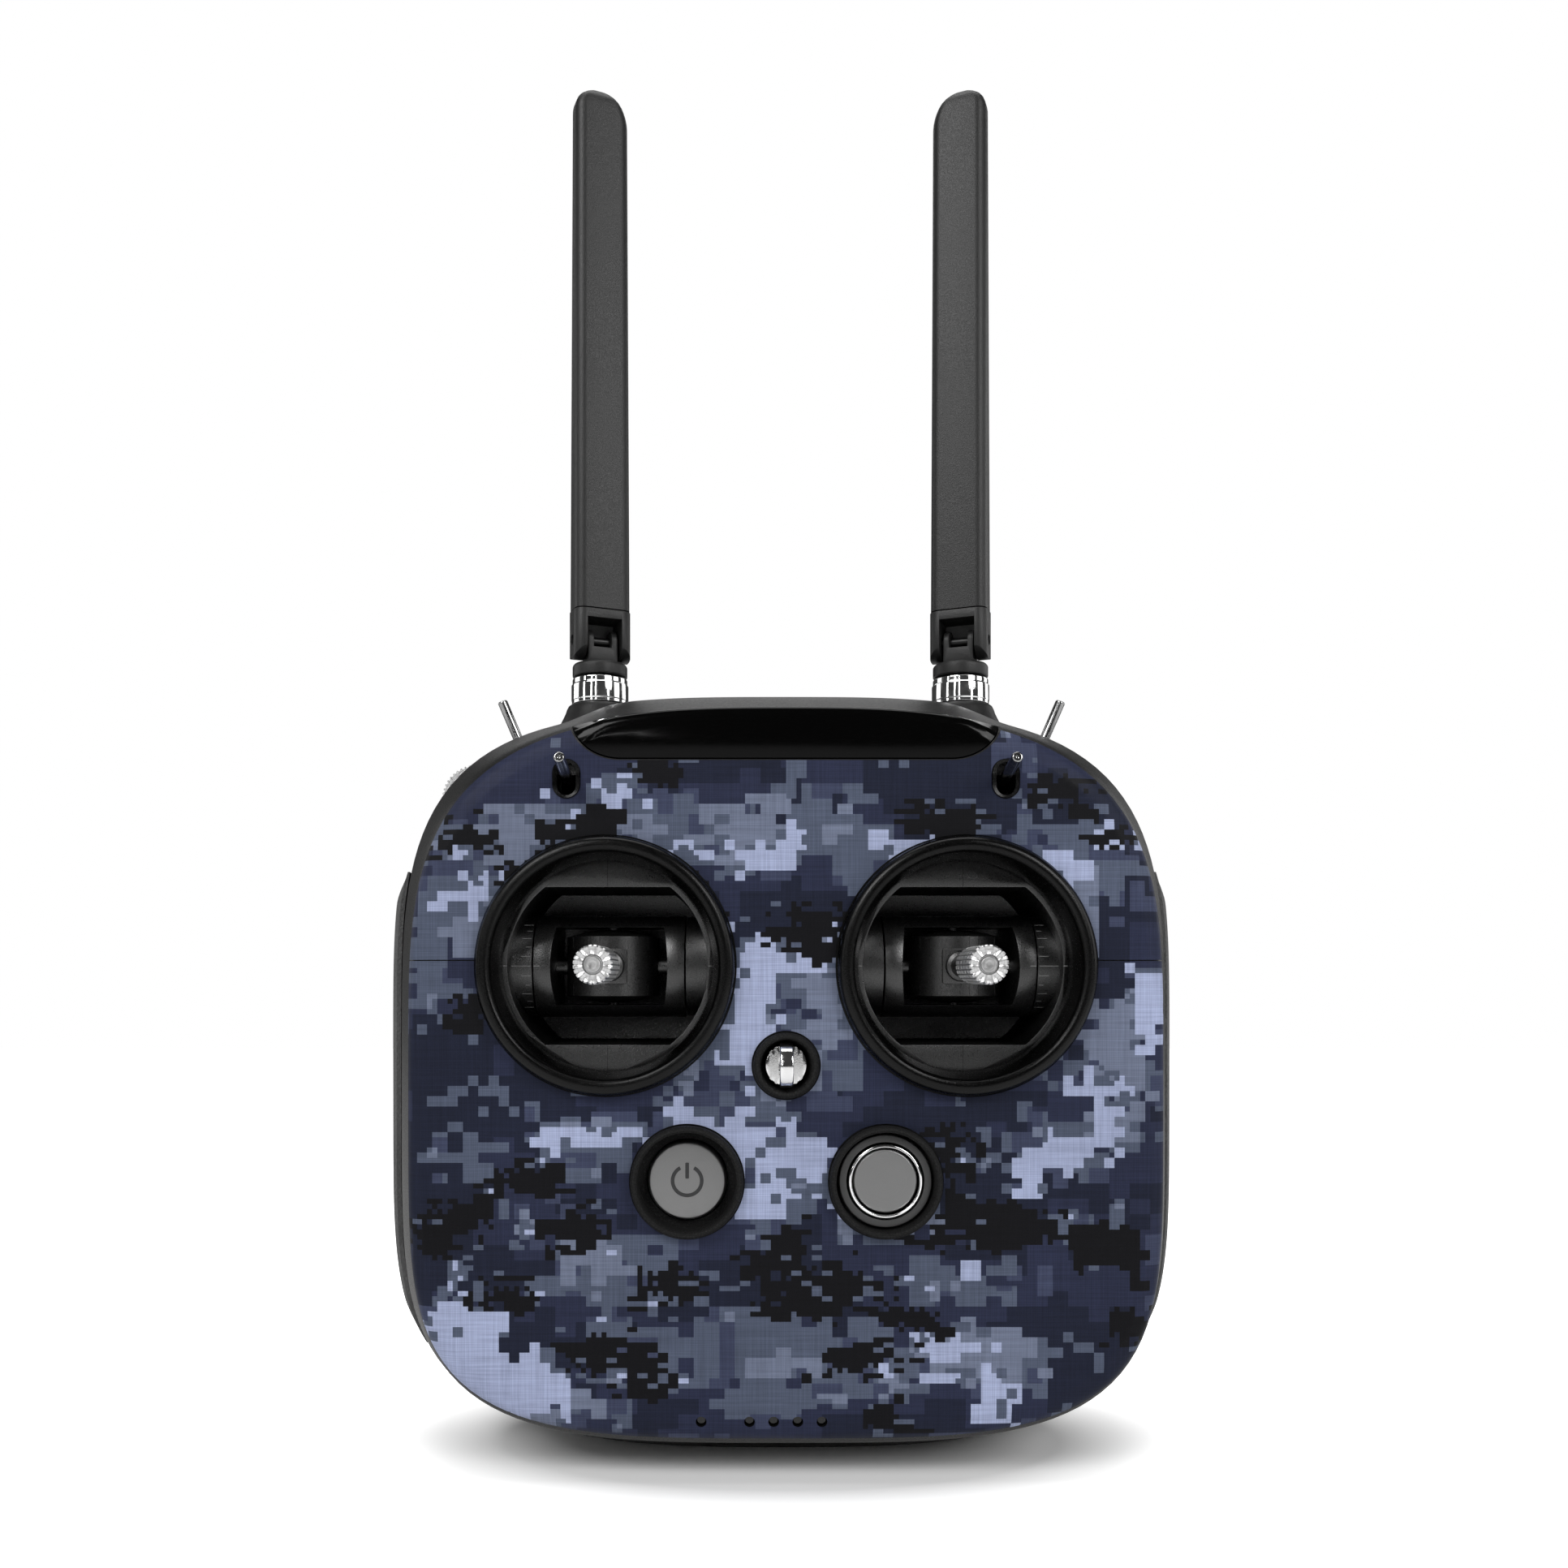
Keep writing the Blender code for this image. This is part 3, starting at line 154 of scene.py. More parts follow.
class Graph:
    """A material's node tree, with short calls that add a node and link its inputs."""

    def __init__(self, name):
        self.material = bpy.data.materials.new(name)
        self.material.use_nodes = True
        self.tree = self.material.node_tree
        self.shader = self.tree.nodes["Principled BSDF"]

    def add(self, kind, settings=None, **inputs):
        node = self.tree.nodes.new("ShaderNode" + kind)
        for key, value in (settings or {}).items():
            setattr(node, key, value)
        for key, value in inputs.items():
            self.feed(node.inputs[key], value)
        return node

    def feed(self, socket, value):
        if isinstance(value, bpy.types.NodeSocket):
            self.tree.links.new(value, socket)
        else:
            socket.default_value = value

    def math(self, operation, *values):
        node = self.add("Math", {"operation": operation})
        for socket, value in zip(node.inputs, values):
            self.feed(socket, value)
        return node.outputs[0]

    def place(self, scale=1000.0):
        """Object coordinates, in millimetres by default."""
        coordinates = self.add("TexCoord").outputs["Object"]
        node = self.add("VectorMath", {"operation": "SCALE"}, Scale=scale)
        self.feed(node.inputs[0], coordinates)
        return node.outputs[0]

    def noise(self, vector, scale, detail=2.0, roughness=0.5):
        node = self.add("TexNoise", Vector=vector, Scale=scale, Detail=detail, Roughness=roughness)
        return node.outputs["Fac"]

    def stretch(self, vector, scale):
        return self.add("Mapping", Vector=vector, Scale=scale).outputs[0]

    def length(self, vector):
        node = self.add("VectorMath", {"operation": "LENGTH"})
        self.feed(node.inputs[0], vector)
        return node.outputs["Value"]

    def span(self, value, low, high, to_low=0.0, to_high=1.0):
        node = self.add("MapRange")
        for socket, number in zip(node.inputs, (value, low, high, to_low, to_high)):
            self.feed(socket, number)
        return node.outputs[0]

    def blend(self, share, first, second):
        node = self.add("Mix", {"data_type": "RGBA"})
        self.feed(node.inputs["Factor"], share)
        self.feed(node.inputs[6], first)
        self.feed(node.inputs[7], second)
        return node.outputs[2]

    def bump(self, height, depth, strength):
        """Relief from a height, with its depth in millimetres."""
        return self.add("Bump", Height=height, Distance=depth * MM, Strength=strength).outputs[0]

    def finish(self, **inputs):
        for key, value in inputs.items():
            self.feed(self.shader.inputs[key.replace("_", " ")], value)
        return self.material


def grey(level):
    return (level, level, level, 1.0)


def scaled(colour, factor, lift=0.0):
    """A colour made lighter or darker."""
    return (*(min(1.0, c * factor + lift) for c in colour[:3]), 1.0)


def linear(red, green, blue):
    """A display colour from 0 to 255, as linear light."""
    return (*(((c / 255 + 0.055) / 1.055) ** 2.4 if c > 10 else c / 3295 for c in (red, green, blue)), 1.0)


def textured_plastic(name, colour, roughness, grain=2.6, depth=0.05, specular=0.5):
    """Moulded plastic with a spark-eroded grain, faint blotches and slightly polished high spots."""
    g = Graph(name)
    place = g.place()
    fine = g.noise(place, grain, 3.0, 0.65)
    broad = g.noise(place, 0.07, 2.0)
    speck = g.span(g.noise(place, grain * 1.9, 1.0), 0.62, 0.75)
    base = g.blend(g.span(broad, 0.3, 0.7), colour, scaled(colour, 1.3))
    base = g.blend(g.math("MULTIPLY", speck, 0.35), base, scaled(colour, 2.4, 0.01))
    rough = g.span(fine, 0.3, 0.7, roughness + 0.1, roughness - 0.08)
    return g.finish(Base_Color=base, Roughness=rough, Normal=g.bump(fine, depth, 0.8),
                    Specular_IOR_Level=specular)


def gloss_plastic(name, colour, specular=0.5):
    """Polished black plastic with a slow ripple and hairline wear."""
    g = Graph(name)
    place = g.place()
    ripple = g.noise(place, 0.05, 1.0)
    hairs = g.noise(g.stretch(place, (0.3, 0.3, 6.0)), 1.2, 2.0)
    dust = g.span(g.noise(place, 5.0, 1.0), 0.7, 0.8)
    rough = g.math("ADD", g.span(hairs, 0.45, 0.75, 0.1, 0.2), g.math("MULTIPLY", dust, 0.12))
    base = g.blend(g.math("MULTIPLY", dust, 0.2), colour, grey(0.03))
    return g.finish(Base_Color=base, Roughness=rough, Normal=g.bump(ripple, 0.3, 0.15),
                    Specular_IOR_Level=specular)


def rubber(name, colour, grain, depth, specular=0.5):
    """Grained rubber: rounded cells with a soft sheen."""
    g = Graph(name)
    place = g.place()
    cells = g.add("TexVoronoi", {"feature": "DISTANCE_TO_EDGE"}, Vector=place, Scale=grain)
    pebble = g.span(cells.outputs["Distance"], 0.0, 0.35)
    fine = g.noise(place, grain * 3.0, 2.0)
    height = g.math("ADD", pebble, g.math("MULTIPLY", fine, 0.4))
    base = g.blend(g.span(g.noise(place, 0.1), 0.3, 0.7), colour, scaled(colour, 1.4))
    rough = g.span(pebble, 0.0, 1.0, 0.85, 0.62)
    return g.finish(Base_Color=base, Roughness=rough, Normal=g.bump(height, depth, 0.9),
                    Specular_IOR_Level=specular)


def polished_metal(name, colour, roughness):
    """Chrome with smudges and faint scratches."""
    g = Graph(name)
    place = g.place()
    smudge = g.span(g.noise(place, 0.35, 3.0), 0.45, 0.75, roughness, roughness + 0.12)
    scratch = g.noise(g.stretch(place, (1.0, 1.0, 9.0)), 3.0, 2.0)
    tint = g.blend(g.span(scratch, 0.3, 0.7), colour, scaled(colour, 0.9))
    return g.finish(Base_Color=tint, Metallic=1.0, Roughness=smudge, Normal=g.bump(scratch, 0.01, 0.3))


def turned_metal(name, colour, roughness, pitch, depth):
    """Metal with concentric tool marks round the piece's own Z axis."""
    g = Graph(name)
    place = g.place()
    radius = g.length(g.stretch(place, (1.0, 1.0, 0.0)))
    rings = g.math("SINE", g.math("MULTIPLY", radius, math.tau / pitch))
    jitter = g.add("TexNoise", {"noise_dimensions": "1D"}, W=radius, Scale=9.0, Detail=2.0)
    marks = g.math("ADD", g.math("MULTIPLY", rings, 0.4), jitter.outputs["Fac"])
    rough = g.span(g.noise(place, 0.5, 3.0), 0.3, 0.7, roughness, roughness + 0.1)
    tint = g.blend(g.span(marks, 0.0, 1.0), scaled(colour, 0.82), colour)
    return g.finish(Base_Color=tint, Metallic=1.0, Roughness=rough, Normal=g.bump(marks, depth, 0.5))


# Print colours, from black to the palest
BLACK, DEEP, NAVY, DUSK, SLATE, STONE, PALE = range(7)
TONES = (linear(8, 8, 12), linear(23, 27, 43), linear(34, 38, 58), linear(52, 57, 78), linear(70, 77, 94),
         linear(96, 103, 122), linear(142, 150, 177))
THREAD_PITCH = 0.46
PRINT_CELL = 1.05
PATCH_FALL = 0.55

# Where the print's larger patches lie on the face: (X, Z, half width, half height)
LIGHT_PATCHES = (
    (-62, 124, 15, 9), (-48, 134, 14, 8), (-30, 138, 16, 7), (-12, 132, 16, 8), (6, 137, 12, 7),
    (17, 128, 10, 6), (57, 133, 13, 10), (62, 120, 12, 9), (-7, 103, 9, 13), (4, 110, 12, 6),
    (-8, 90, 9, 10), (10, 92, 6, 14), (0, 66, 17, 11), (-12, 76, 16, 6), (-42, 72, 18, 7), (-66, 68, 8, 6),
    (52, 69, 15, 7), (67, 80, 9, 16), (72, 102, 5, 15), (-69, 28, 9, 14), (-56, 19, 16, 8),
    (-38, 44, 26, 8), (-2, 32, 18, 12), (28, 26, 16, 6), (36, 42, 14, 6), (44, 24, 11, 10), (22, 55, 9, 5),
    (-24, 28, 14, 7), (-72, 105, 6, 10), (-20, 102, 6, 14), (60, 52, 8, 6), (-34, 18, 14, 5),
    (2, 17, 14, 5),
)
PALE_PATCHES = (
    (-7, 100, 5, 13), (4, 109, 9, 4), (-10, 88, 5, 9), (2, 65, 13, 9), (-14, 74, 12, 4), (-42, 71, 13, 3.5),
    (-68, 29, 11, 11), (-56, 20, 15, 8), (53, 67, 8, 4.5), (64, 76, 5, 8), (73, 98, 4, 10),
    (31, 26, 12, 2.5), (-1, 129, 8, 2.5), (-66, 122, 8, 3), (-48, 119, 6, 4), (-38, 141, 9, 3),
    (58, 125, 7, 4), (36, 46, 4, 3.5), (-20, 110, 4, 5), (20, 131, 5, 2.5), (42, 18, 5, 4),
    (66, 132, 6, 2.5), (-22, 133, 5, 3), (-30, 127, 4, 3),
)
STONE_PATCHES = (
    (60, 121, 9, 8), (41, 26, 10, 8), (-56, 133, 11, 7), (22, 55, 8, 4), (-6, 135, 12, 5), (68, 84, 6, 14),
    (-62, 113, 8, 6), (10, 96, 5, 12), (-4, 80, 8, 5), (-50, 16, 12, 5), (16, 108, 7, 5), (-22, 92, 4, 8),
    (-40, 46, 12, 4), (-2, 24, 10, 4), (-30, 134, 8, 4),
)
DARK_PATCHES = (
    (-70, 58, 14, 20), (-40, 60, 14, 8), (-58, 46, 16, 8), (42, 52, 22, 11), (54, 34, 26, 12),
    (66, 60, 14, 12), (30, 12, 22, 6), (62, 18, 14, 10), (-14, 148, 34, 7), (34, 144, 22, 8),
    (-60, 84, 16, 14), (68, 110, 10, 12), (64, 140, 14, 8), (0, 118, 14, 8), (0, 42, 16, 8),
    (-48, 30, 14, 7), (-24, 14, 12, 5), (14, 76, 14, 5), (28, 76, 14, 6), (0, 137, 10, 6),
)
BLACK_PATCHES = (
    (7, 115, 13, 4.5), (-66, 132, 9, 3.5), (-42, 133, 9, 3.5), (-26, 146, 7, 3), (33, 136, 10, 3),
    (55, 143, 7, 4), (66, 133, 7, 3), (33, 69, 5, 7), (42, 53, 15, 5), (-52, 63, 9, 3), (-70, 53, 9, 6),
    (-44, 52, 8, 4), (7, 41, 15, 5.5), (-24, 41, 7, 5), (-38, 27, 10, 5), (-28, 21, 7, 3), (14, 25, 10, 3),
    (20, 13, 5, 2.5), (70, 33, 5, 4), (-58, 39, 9, 3), (52, 118, 5, 4), (-20, 122, 5, 4), (64, 47, 8, 4),
    (-56, 126, 6, 3), (-2, 48, 8, 3), (-64, 98, 6, 3), (24, 34, 8, 3),
)


def scatter(x, z, block, reach, seed):
    """A shift that is the same all over a block and differs between blocks."""
    spot = Vector((math.floor(x / block[0]) + 0.5, math.floor(z / block[1]) + 0.5, seed + 0.5))
    moved = noise.cell_vector(spot)
    return (moved.x - 0.5) * 2.0 * reach, (moved.y - 0.5) * 2.0 * reach


def pull(x, z, patches):
    """1 at the middle of the nearest patch, falling by PATCH_FALL for each half size away from it."""
    nearest = min(math.hypot((x - px) / width, (z - pz) / height) for px, pz, width, height in patches)
    return 1.0 - nearest * PATCH_FALL


def ragged(x, z, cells, seed, fine=1.0):
    """The centre of a place's block, moved by shifts of three block sizes, which breaks edges into steps."""
    wide, high = cells[0] * PRINT_CELL, cells[1] * PRINT_CELL
    x = (math.floor((x + seed * PRINT_CELL) / wide) + 0.5) * wide - seed * PRINT_CELL
    z = (math.floor((z + seed * PRINT_CELL) / high) + 0.5) * high - seed * PRINT_CELL
    for block, reach in (((9.1, 6.3), 3.6), ((5.1, 3.6), 2.6), ((wide * 1.01, high * 1.01), 1.1 * fine)):
        dx, dz = scatter(x + seed * 1.7, z + seed * 2.3, block, reach, seed)
        x += dx
        z += dz * 0.8
    return x, z


def drift(x, z, size, seed, wide=1.0):
    """Slow noise about 0."""
    return noise.fractal(Vector((x / size / wide, z / size, seed * 3.7)), 0.9, 2.0, 2)


def print_tone(x, z):
    """The tone of one cell. Each layer of the print lies over those before it."""
    def layer(seed, cells, size, wide=1.0, fine=1.0):
        """A ragged place near this one, and the slow noise there."""
        spot = ragged(x, z, cells, seed, fine)
        return spot, drift(*spot, size, seed, wide)

    tone = NAVY
    spot, waver = layer(1, (4, 3), 11, 1.6)
    if waver + pull(*spot, DARK_PATCHES) > 0.55:
        tone = DEEP
    spot, waver = layer(2, (3, 3), 10, 1.5)
    if waver - 0.5 * max(0.0, pull(*spot, DARK_PATCHES)) > 0.26:
        tone = DUSK
    spot, waver = layer(3, (3, 2), 8)
    shaded = 0.35 * max(0.0, pull(*spot, DARK_PATCHES))
    if pull(*spot, LIGHT_PATCHES) + 0.34 * waver - shaded > 0.42:
        tone = SLATE
    if tone == SLATE and layer(4, (3, 3), 6, 1.2)[1] > 0.24:
        tone = DUSK
    spot, waver = layer(5, (3, 2), 6)
    if pull(*spot, STONE_PATCHES) + 0.34 * waver > 0.52:
        tone = STONE
    spot, waver = layer(6, (2, 2), 7)
    if pull(*spot, PALE_PATCHES) + 0.30 * waver > 0.47:
        tone = PALE
    if tone in (PALE, STONE) and layer(7, (2, 2), 5.5)[1] > 0.50:
        tone = SLATE
    if layer(8, (2, 2), 5, 1.4)[1] > 0.58:
        tone = STONE if tone in (SLATE, DUSK) else SLATE
    spot, waver = layer(9, (2, 1), 5.5, 1.7)
    if pull(*spot, BLACK_PATCHES) + 0.42 * waver > 0.57:
        tone = BLACK
    near_black = max(0.0, pull(x, z, BLACK_PATCHES))
    if near_black + 0.6 * layer(10, (1, 1), 2.4, 2.2, 2.0)[1] > 0.66:
        tone = BLACK
    if near_black > 0.15 and layer(11, (2, 1), 3.0, 1.4)[1] > 0.52:
        tone = PALE if tone in (SLATE, STONE) else SLATE
    return tone


def mark_print(piece):
    """Cut the sheet into small square cells and give every cell one colour of the print."""
    bm = bmesh.new()
    bm.from_mesh(piece.data)
    for axis, low, high in ((0, -PRINT_HALF_WIDTH, PRINT_HALF_WIDTH), (2, PRINT_LOW_Z, PRINT_HIGH_Z)):
        for step in range(int((high - low) / PRINT_CELL) + 1):
            place = [0.0, 0.0, 0.0]
            normal = [0.0, 0.0, 0.0]
            place[axis] = (low + step * PRINT_CELL) * MM
            normal[axis] = 1.0
            everything = bm.verts[:] + bm.edges[:] + bm.faces[:]
            bmesh.ops.bisect_plane(bm, geom=everything, plane_co=place, plane_no=normal)
    layer = bm.faces.layers.float_vector.new("print_tone")
    found = {}
    for face in bm.faces:
        centre = face.calc_center_median() / MM
        cell = (math.floor(centre.x / PRINT_CELL), math.floor(centre.z / PRINT_CELL))
        if cell not in found:
            found[cell] = print_tone((cell[0] + 0.5) * PRINT_CELL, (cell[1] + 0.5) * PRINT_CELL)
        face[layer] = TONES[found[cell]][:3]
    bm.to_mesh(piece.data)
    bm.free()


def camouflage_skin():
    """Vinyl printed with square-edged camouflage, under a fine woven texture and a slow fade."""
    g = Graph("skin_print")
    place = g.place()
    colour = g.add("Attribute", {"attribute_name": "print_tone"}).outputs["Vector"]
    split = g.add("SeparateXYZ", Vector=place)
    streak_x = g.noise(g.stretch(place, (2.2, 0.0, 0.06)), 1.0, 2.0, 0.7)
    streak_z = g.noise(g.stretch(place, (0.06, 0.0, 2.2)), 1.0, 2.0, 0.7)
    warp = g.math("SINE", g.math("MULTIPLY", split.outputs["X"], math.tau / THREAD_PITCH))
    weft = g.math("SINE", g.math("MULTIPLY", split.outputs["Z"], math.tau / THREAD_PITCH))
    threads = g.math("ADD", g.math("MULTIPLY", warp, streak_x), g.math("MULTIPLY", weft, streak_z))
    streaks = g.math("ADD", streak_x, streak_z)
    shade = g.math("ADD", g.span(threads, -1.0, 1.0, 0.93, 1.07), g.span(streaks, 0.7, 1.3, -0.22, 0.22))
    fade = g.span(g.noise(place, 0.035, 2.0), 0.3, 0.7, 0.9, 1.1)
    tinted = g.add("VectorMath", {"operation": "SCALE"}, Scale=g.math("MULTIPLY", shade, fade))
    g.feed(tinted.inputs[0], colour)
    rough = g.span(g.noise(place, 0.2, 2.0), 0.3, 0.7, 0.5, 0.6)
    return g.finish(Base_Color=tinted.outputs[0], Roughness=rough, Normal=g.bump(threads, 0.012, 0.35),
                    Specular_IOR_Level=0.12)


SHELL = textured_plastic("shell_plastic", grey(0.005), 0.42, grain=3.0, depth=0.07, specular=0.3)
GIMBAL_PLASTIC = textured_plastic("gimbal_plastic", grey(0.0014), 0.30, grain=4.2, specular=0.85)
RING_PLASTIC = textured_plastic("ring_plastic", grey(0.0005), 0.20, grain=3.0, specular=0.2)
SKIN = camouflage_skin()
FASCIA = gloss_plastic("fascia_gloss", grey(0.0010), 0.12)
GRIP = rubber("grip_rubber", grey(0.045), 0.9, 0.12)
BEZEL = rubber("bezel_rubber", grey(0.0010), 1.6, 0.07, 0.3)
CHROME = polished_metal("chrome", grey(0.86), 0.05)
ALUMINIUM = turned_metal("stick_aluminium", grey(0.62), 0.3, 0.5, 0.004)
# The toggle levers' chrome is painted much darker than the other chrome: a painted shade for the dark
# surroundings they reflect
LEVER_SHADED_CHROME = polished_metal("lever_chrome_painted_dark", grey(0.34), 0.12)
# The hinge pins' metal is painted nearly black: a painted shade, so that each pin reads as the shadow in its
# hinge slot
PIN_SHADED_METAL = polished_metal("pin_metal_painted_dark", grey(0.03), 0.35)
CAP_METAL = turned_metal("button_satin", grey(0.27), 0.34, 0.18, 0.006)
ANTENNA_PLASTIC = textured_plastic("antenna_plastic", grey(0.0065), 0.42, 3.4, 0.07, 0.36)
MARK = textured_plastic("index_mark", grey(0.16), 0.5)
SEAM = textured_plastic("seam_line", grey(0.001), 0.8)
LIGHT = gloss_plastic("light_window", grey(0.006))


# ---- mesh building ----

SHARP_ANGLE = 35.0


def to_piece(name, bm, material, body, nodes=(), place=None, angle=SHARP_ANGLE):
    """An object from a bmesh in millimetres, which rides on a body and stands for CAD nodes."""
    bmesh.ops.scale(bm, vec=(MM, MM, MM), verts=bm.verts)
    mesh = bpy.data.meshes.new(name)
    bm.to_mesh(mesh)
    bm.free()
    mesh.materials.append(material)
    piece = bpy.data.objects.new(name, mesh)
    bpy.context.scene.collection.objects.link(piece)
    if place is not None:
        piece.matrix_world = Matrix.Translation(place.translation * MM) @ place.to_3x3().to_4x4()
    smooth(mesh, angle)
    if body is not None:
        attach(piece, body)
        if nodes:
            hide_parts(*nodes)
    return piece


def smooth(mesh, angle):
    mesh.shade_smooth()
    mesh.set_sharp_from_angle(angle=math.radians(angle))


def settle(piece):
    """Replace a piece's mesh by what its modifiers make, and shade it."""
    bpy.context.view_layer.update()
    graph = bpy.context.evaluated_depsgraph_get()
    mesh = bpy.data.meshes.new_from_object(piece.evaluated_get(graph))
    piece.modifiers.clear()
    piece.data = mesh
    smooth(mesh, SHARP_ANGLE)


def carve(piece, cutters, operation="DIFFERENCE"):
    """Cut a piece with other objects, which are then removed."""
    for cutter in cutters:
        modifier = piece.modifiers.new(cutter.name, "BOOLEAN")
        modifier.operation = operation
        modifier.object = cutter
    settle(piece)
    for cutter in cutters:
        bpy.data.objects.remove(cutter, do_unlink=True)
    return piece


def soften(piece, width, segments=2):
    """Round a piece's sharp edges."""
    bevel = piece.modifiers.new("bevel", "BEVEL")
    bevel.width = width * MM
    bevel.segments = segments
    bevel.limit_method = "ANGLE"
    bevel.angle_limit = math.radians(SHARP_ANGLE)
    settle(piece)
    return piece


def facing_front(x, y, z):
    """Frame at a place whose Z points out of the face and whose Y points up."""
    return Matrix.Translation((x, y, z)) @ Euler((math.radians(90), 0.0, 0.0)).to_matrix().to_4x4()


def bridge(bm, rings, closed=False):
    """Join rings that have as many points each, and the last to the first where they close."""
    for near, far in zip(rings, rings[1:] + rings[:1] if closed else rings[1:]):
        for i, vert in enumerate(near):
            j = (i + 1) % len(near)
            bm.faces.new((vert, near[j], far[j], far[i]))


def add_turned(bm, profile, steps, matrix=None):
    """Turn (radius, height) points about Z. A closed profile has no point on the axis."""
    rings = []
    for radius, height in profile:
        if radius == 0:
            rings.append([bm.verts.new((0.0, 0.0, height))])
            continue
        ring = []
        for i in range(steps):
            angle = math.tau * i / steps
            ring.append(bm.verts.new((radius * math.cos(angle), radius * math.sin(angle), height)))
        rings.append(ring)
    pairs = list(zip(rings, rings[1:]))
    if profile[0][0] > 0 and profile[-1][0] > 0:
        pairs.append((rings[-1], rings[0]))
    for upper, lower in pairs:
        for i in range(steps):
            j = (i + 1) % steps
            corners = [ring[k % len(ring)] for ring, k in ((upper, i), (lower, i), (lower, j), (upper, j))]
            bm.faces.new(list(dict.fromkeys(corners)))
    if matrix is not None:
        bmesh.ops.transform(bm, matrix=matrix, verts=[v for ring in rings for v in ring])


def turned(name, profile, material, body, place, nodes=(), steps=72):
    bm = bmesh.new()
    add_turned(bm, profile, steps)
    return to_piece(name, bm, material, body, nodes, place)


def rounded(points, corner_steps=3):
    """A (radius, height) profile with its corners cut round: each point is (r, h) or (r, h, corner)."""
    out = []
    count = len(points)
    for i, point in enumerate(points):
        here = Vector(point[:2])
        corner = point[2] if len(point) > 2 else 0.0
        if corner == 0.0:
            out.append(tuple(here))
            continue
        before = Vector(points[(i - 1) % count][:2])
        after = Vector(points[(i + 1) % count][:2])
        start = here + (before - here).normalized() * corner
        end = here + (after - here).normalized() * corner
        for k in range(corner_steps + 1):
            t = k / corner_steps
            out.append(tuple(start * (1 - t) ** 2 + here * 2 * t * (1 - t) + end * t ** 2))
    return out


def add_box(bm, low, high, matrix=None):
    size = [b - a for a, b in zip(low, high)]
    centre = [(a + b) / 2 for a, b in zip(low, high)]
    local = Matrix.Translation(centre) @ Matrix.Diagonal((*size, 1.0))
    bmesh.ops.create_cube(bm, size=1.0, matrix=local if matrix is None else matrix @ local)


def add_rod(bm, start, end, radius, sides=32):
    axis = Vector(end) - Vector(start)
    turn = axis.to_track_quat("Z", "Y").to_matrix().to_4x4()
    matrix = Matrix.Translation((Vector(start) + Vector(end)) / 2) @ turn
    bmesh.ops.create_cone(bm, cap_ends=True, segments=sides, radius1=radius, radius2=radius,
                          depth=axis.length, matrix=matrix)


def cutter(name, build):
    """A solid used only to cut: build adds to its bmesh, in millimetres and world axes."""
    bm = bmesh.new()
    build(bm)
    bmesh.ops.recalc_face_normals(bm, faces=bm.faces)
    return to_piece(name, bm, SEAM, None)


def rods_cutter(name, ends, sides=64):
    def build(bm):
        for start, end, radius in ends:
            add_rod(bm, start, end, radius, sides)
    return cutter(name, build)


def add_slab(bm, points, low, high, matrix=None):
    """Extrude an outline between two heights of its own Z."""
    bottom = [bm.verts.new((x, y, low)) for x, y in points]
    top = [bm.verts.new((x, y, high)) for x, y in points]
    bm.faces.new(list(reversed(bottom)))
    bm.faces.new(top)
    bridge(bm, [bottom, top])
    if matrix is not None:
        bmesh.ops.transform(bm, matrix=matrix, verts=bottom + top)


def arc(centre_x, centre_y, radius_x, radius_y, start, end, steps):
    points = []
    for i in range(steps + 1):
        angle = math.radians(start + (end - start) * i / steps)
        points.append((centre_x + radius_x * math.cos(angle), centre_y + radius_y * math.sin(angle)))
    return points


def stadium(centre_x, centre_y, radius, half_straight):
    upper = arc(centre_x, centre_y + half_straight, radius, radius, 0, 180, 16)
    return upper + arc(centre_x, centre_y - half_straight, radius, radius, 180, 360, 16)


def rounded_box_outline(half_x, half_y, radius, shift=0.0):
    points = []
    for quarter, (sx, sy) in enumerate(((1, 1), (-1, 1), (-1, -1), (1, -1))):
        corner = (shift + sx * (half_x - radius), sy * (half_y - radius))
        points += arc(*corner, radius, radius, 90 * quarter, 90 * quarter + 90, 8)
    return points


# ---- case ----

def mix(low, high, share):
    return low + (high - low) * share


def ease(share):
    """0 to 1 with a level start and end."""
    return share * share * (3.0 - 2.0 * share)


def case_row(y):
    """Half width, height, depth and the middle's rise at a given Y: the rows joined by smooth curves."""
    rows = CASE_ROWS
    index = max(i for i in range(len(rows) - 1) if rows[i][0] <= max(y, FACE_Y))
    near, far = rows[index], rows[index + 1]
    span = far[0] - near[0]
    share = (y - near[0]) / span

    def slope(i, k):
        before, after = rows[max(i - 1, 0)], rows[min(i + 1, len(rows) - 1)]
        return (after[k] - before[k]) / (after[0] - before[0])

    values = []
    for k in (1, 2, 3, 4):
        low, high = near[k], far[k]
        start, end = slope(index, k) * span, slope(index + 1, k) * span
        t = share
        values.append(low * (2 * t ** 3 - 3 * t ** 2 + 1) + start * (t ** 3 - 2 * t ** 2 + t)
                      + high * (3 * t ** 2 - 2 * t ** 3) + end * (t ** 3 - t ** 2))
    return values


def case_section(y):
    """Half width, height, depth and the powers of the upper and lower outline at a given Y."""
    half_width, top, bottom, _ = case_row(y)
    depth_share = min(1.0, max(0.0, (y - FACE_Y) / (FULL_CURVE_Y - FACE_Y)))
    upper = [mix(UPPER_POWERS[i], UPPER_POWERS[i + 2], depth_share) for i in (0, 1)]
    lower = [mix(LOWER_POWERS[i], LOWER_POWERS[i + 2], depth_share) for i in (0, 1)]
    return half_width, top, bottom, upper, lower


